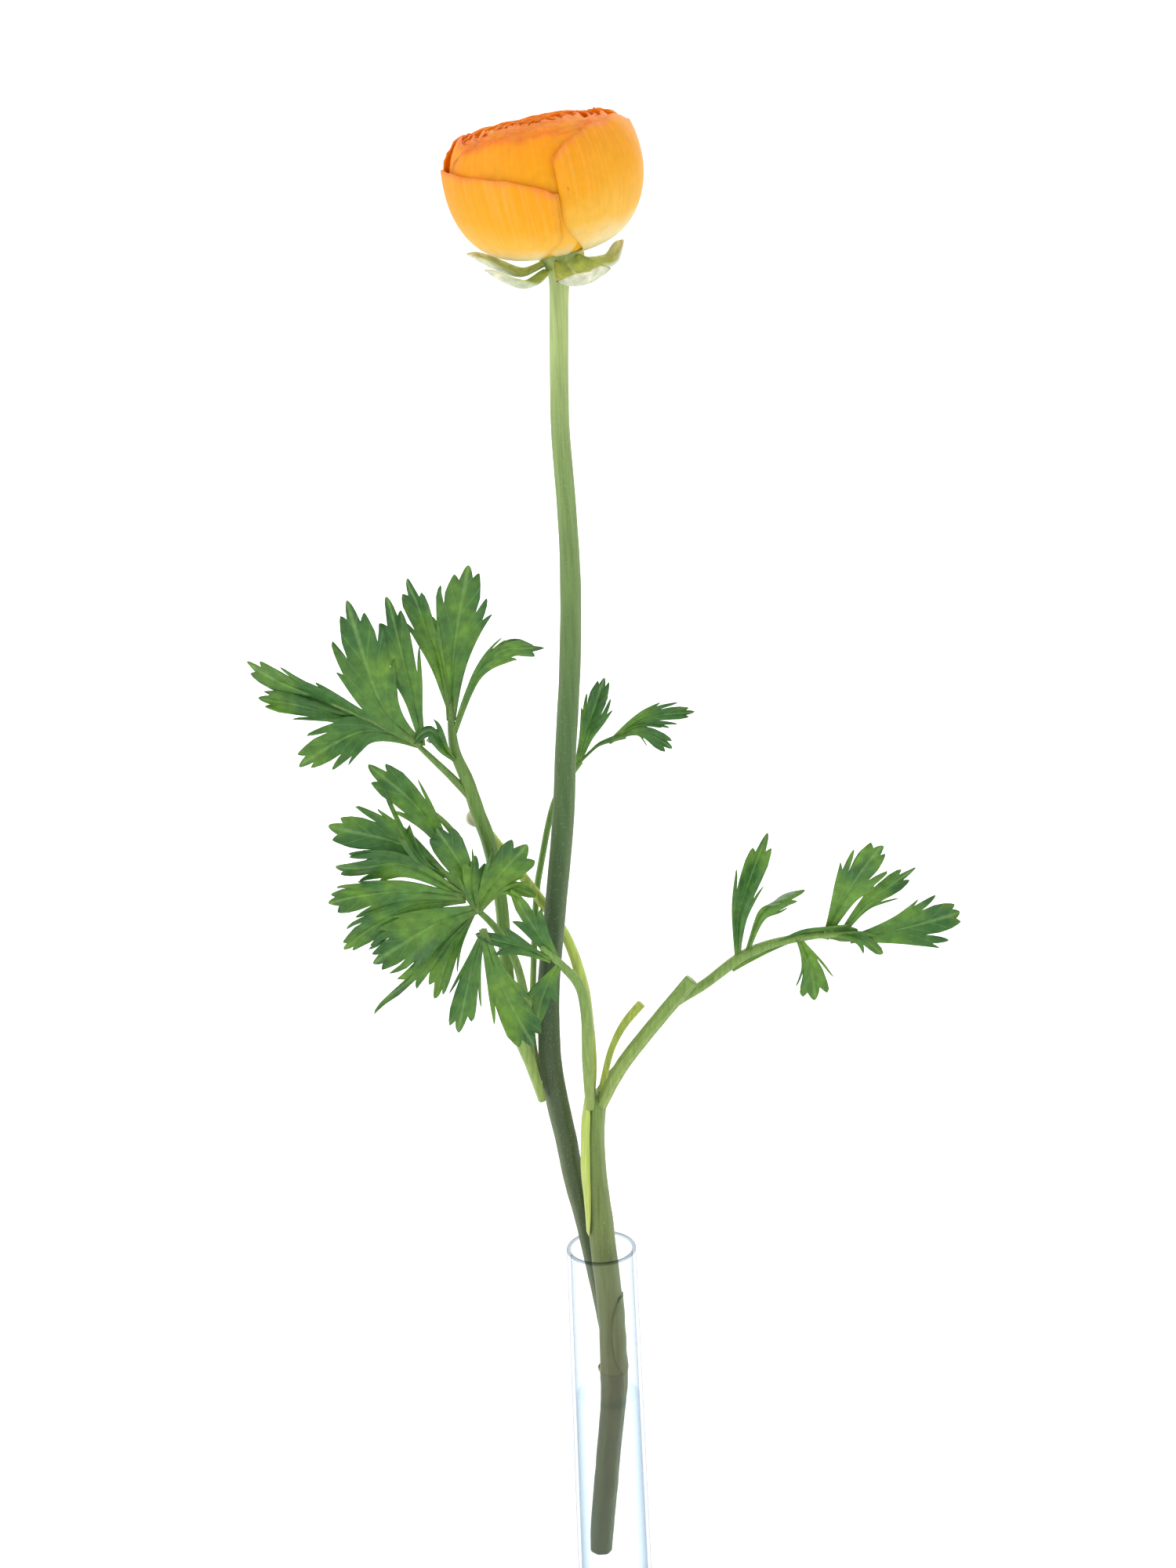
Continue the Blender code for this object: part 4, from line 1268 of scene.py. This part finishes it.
# Waxy upper face of a leaf: mid green with lighter cloudy patches and a pale midrib.
LEAF_TOP = ThinTissue("leaf_blade_top", [(0.0, "#7E9E52"), (0.3, "#588842"), (0.7, "#45763A"),
                                         (1.0, "#3A6832")],
                      "#82A866", roughness=0.34, glow=0.40, side_veins=6.0, vein_strength=0.08, patches=0.6)
# Dull grey-green underside, with its veins standing out a little.
LEAF_UNDERSIDE = ThinTissue("leaf_blade_underside", [(0.0, "#A6B896"), (1.0, "#7D9C7C")], "#BFD0B0",
                            roughness=0.6, glow=0.40, side_veins=6.0, vein_strength=0.12, patches=0.2)
# Channelled leaf stalks, paler where they leave the node.
LEAF_STALK = StemSkin("leaf_stalk_skin", [(0.0, "#7F9444"), (0.5, "#5F8434"), (1.0, "#55762C")], 180.0, 300.0)
# The main stem: olive in the water, dark green in the middle, light yellow-green under the head.
GREEN_STEM = StemSkin("green_stem_skin", [(0.0, "#33390F"), (0.16, "#3E3E12"), (0.25, "#33421A"),
                                          (0.5, "#27421A"), (0.68, "#3E5E26"), (0.86, "#6E8846"),
                                          (1.0, "#A5B470")], 35.0, 422.0)
# Young yellow-green stalks of the bud and of the torn stub.
YELLOW_STALK = StemSkin("yellow_stalk_skin", [(0.0, "#A3B348"), (1.0, "#9DB24A")], 180.0, 265.0)
# Thick side shoot, brownish at its foot.
SHOOT_SKIN = StemSkin("side_shoot_skin", [(0.0, "#4C4A1C"), (0.4, "#57622A"), (1.0, "#5D772C")], 96.0, 182.0)
# Thin leaf sheath that catches the light as a yellow-green edge.
SHEATH_SKIN = StemSkin("sheath_skin", [(0.0, "#7A6A34"), (0.35, "#93A03E"), (1.0, "#A8BE4A")], 94.0, 182.0,
                       hair_and_sheen="#DCE0A8")
# Dry cream bracts round the small bud.
BUD_BRACT = StemSkin("bud_bract_skin", [(0.0, "#B8B093"), (1.0, "#CFC8A8")], 264.0, 271.0)
# Outer petals: cream at the foot, warm gold above, with a thin peach margin.
OUTER_PETAL = ThinTissue(
    "outer_petal_skin", [(0.0, "#EFEDC0"), (0.26, "#F4E6AC"), (0.42, "#F8CC48"), (0.64, "#FABA06"),
                         (0.94, "#FBB20A"), (1.0, "#FBA43C")],
    "#FFE48C", vein_strength=0.22, roughness=0.5, glow=0.40, midrib=False, mottle=0.05, bump_mm=0.06)
# Inner petals: deeper gold that turns orange where petals light each other, orange at the rim.
INNER_PETAL = ThinTissue(
    "inner_petal_skin", [(0.0, "#FFD020"), (0.5, "#FEC60A"), (0.82, "#FEB80A"), (0.95, "#FFB41C"),
                         (1.0, "#FC9A2C")],
    "#FFD840", vein_strength=0.25, roughness=0.5, glow=0.45, midrib=False, mottle=0.06, bump_mm=0.08)
# Smooth yellow-green upper face of a sepal, cream towards its margin.
SEPAL_FACE = ThinTissue("sepal_face", [(0.0, "#D4DE6C"), (0.6, "#D6DC8E"), (1.0, "#EDEBC8")], "#EEF0CC",
                        glow=0.4, roughness=0.6)
# Downy grey-green back of a sepal: its hairs give a soft sheen.
SEPAL_BACK = ThinTissue("sepal_hairy_back", [(0.0, "#B4C698"), (0.6, "#C6D2B4"), (1.0, "#E8E6D2")], "#EEF0E4",
                        glow=0.4, roughness=0.8, sheen=0.5)
# Drawn glass: nearly invisible, with a cool edge and a grey lip, both painted shade standing in for
# refraction.
DRAWN_GLASS = ClearBody("drawn_glass", "#F8FBFD", "#E6EAEE", "#97A0A8", 1.47, ripple_mm=0.02)
# Still water: a faint cool tint, with a thin painted dark line where its surface meets the glass, standing in
# for refraction at the meniscus.
STILL_WATER = ClearBody("still_water", "#FAFDFF", "#EEF6FB", "#D3E1EA", 1.33, lip_shade_from_mm=86.3, lip_shade_strength=0.7)


def build_leaves(stalk_skin: bpy.types.Material) -> None:
    """Build the five divided leaves with their stalks.

    Args:
        stalk_skin: Finish of the leaf stalks.
    """
    top = LEAF_TOP.make()
    underside = LEAF_UNDERSIDE.make()
    for leaf in (UPPER_LEFT, MID_LEFT, FRONT_LOW, SMALL_RIGHT, RIGHT):
        leaf.build(top, underside, stalk_skin)


def build_stems(stalk_skin: bpy.types.Material) -> None:
    """Build the stems, the bare stalks, their sheaths and the small bud.

    Args:
        stalk_skin: Finish of the leaf stalks.
    """
    green = GREEN_STEM.make()
    shoot = SHOOT_SKIN.make()
    sheath = SHEATH_SKIN.make()
    yellow = YELLOW_STALK.make()
    LOWER_STEM.build(green)
    FLOWER_STEM.build(green)
    SIDE_SHOOT.build(shoot)
    Sheath("shoot_sheath", SIDE_SHOOT, 0.45, 0.97, 190.0, 62.0, 0.55).build(sheath)
    Sheath("node_sheath", SIDE_SHOOT, 0.0, 0.24, -10.0, 80.0, 0.35).build(shoot)
    Sheath("node_ring", LOWER_STEM, 0.965, 0.998, 270.0, 178.0, 0.25).build(sheath)
    for stalk, skin in zip(BARE_STALKS, (yellow, stalk_skin, yellow)):
        stalk.build(skin)
    Bud().build(BUD_BRACT.make())


def main() -> None:
    """Build the studio and every sub-assembly in order."""
    Studio().build()
    stalk_skin = LEAF_STALK.make()
    build_leaves(stalk_skin)
    build_stems(stalk_skin)
    head = FlowerHead()
    head.build([OUTER_PETAL.make()], [INNER_PETAL.make()])
    Sepals(head).build(SEPAL_FACE.make(), SEPAL_BACK.make())
    Vase().build(DRAWN_GLASS.make(), STILL_WATER.make())


if __name__ == "__main__":
    main()
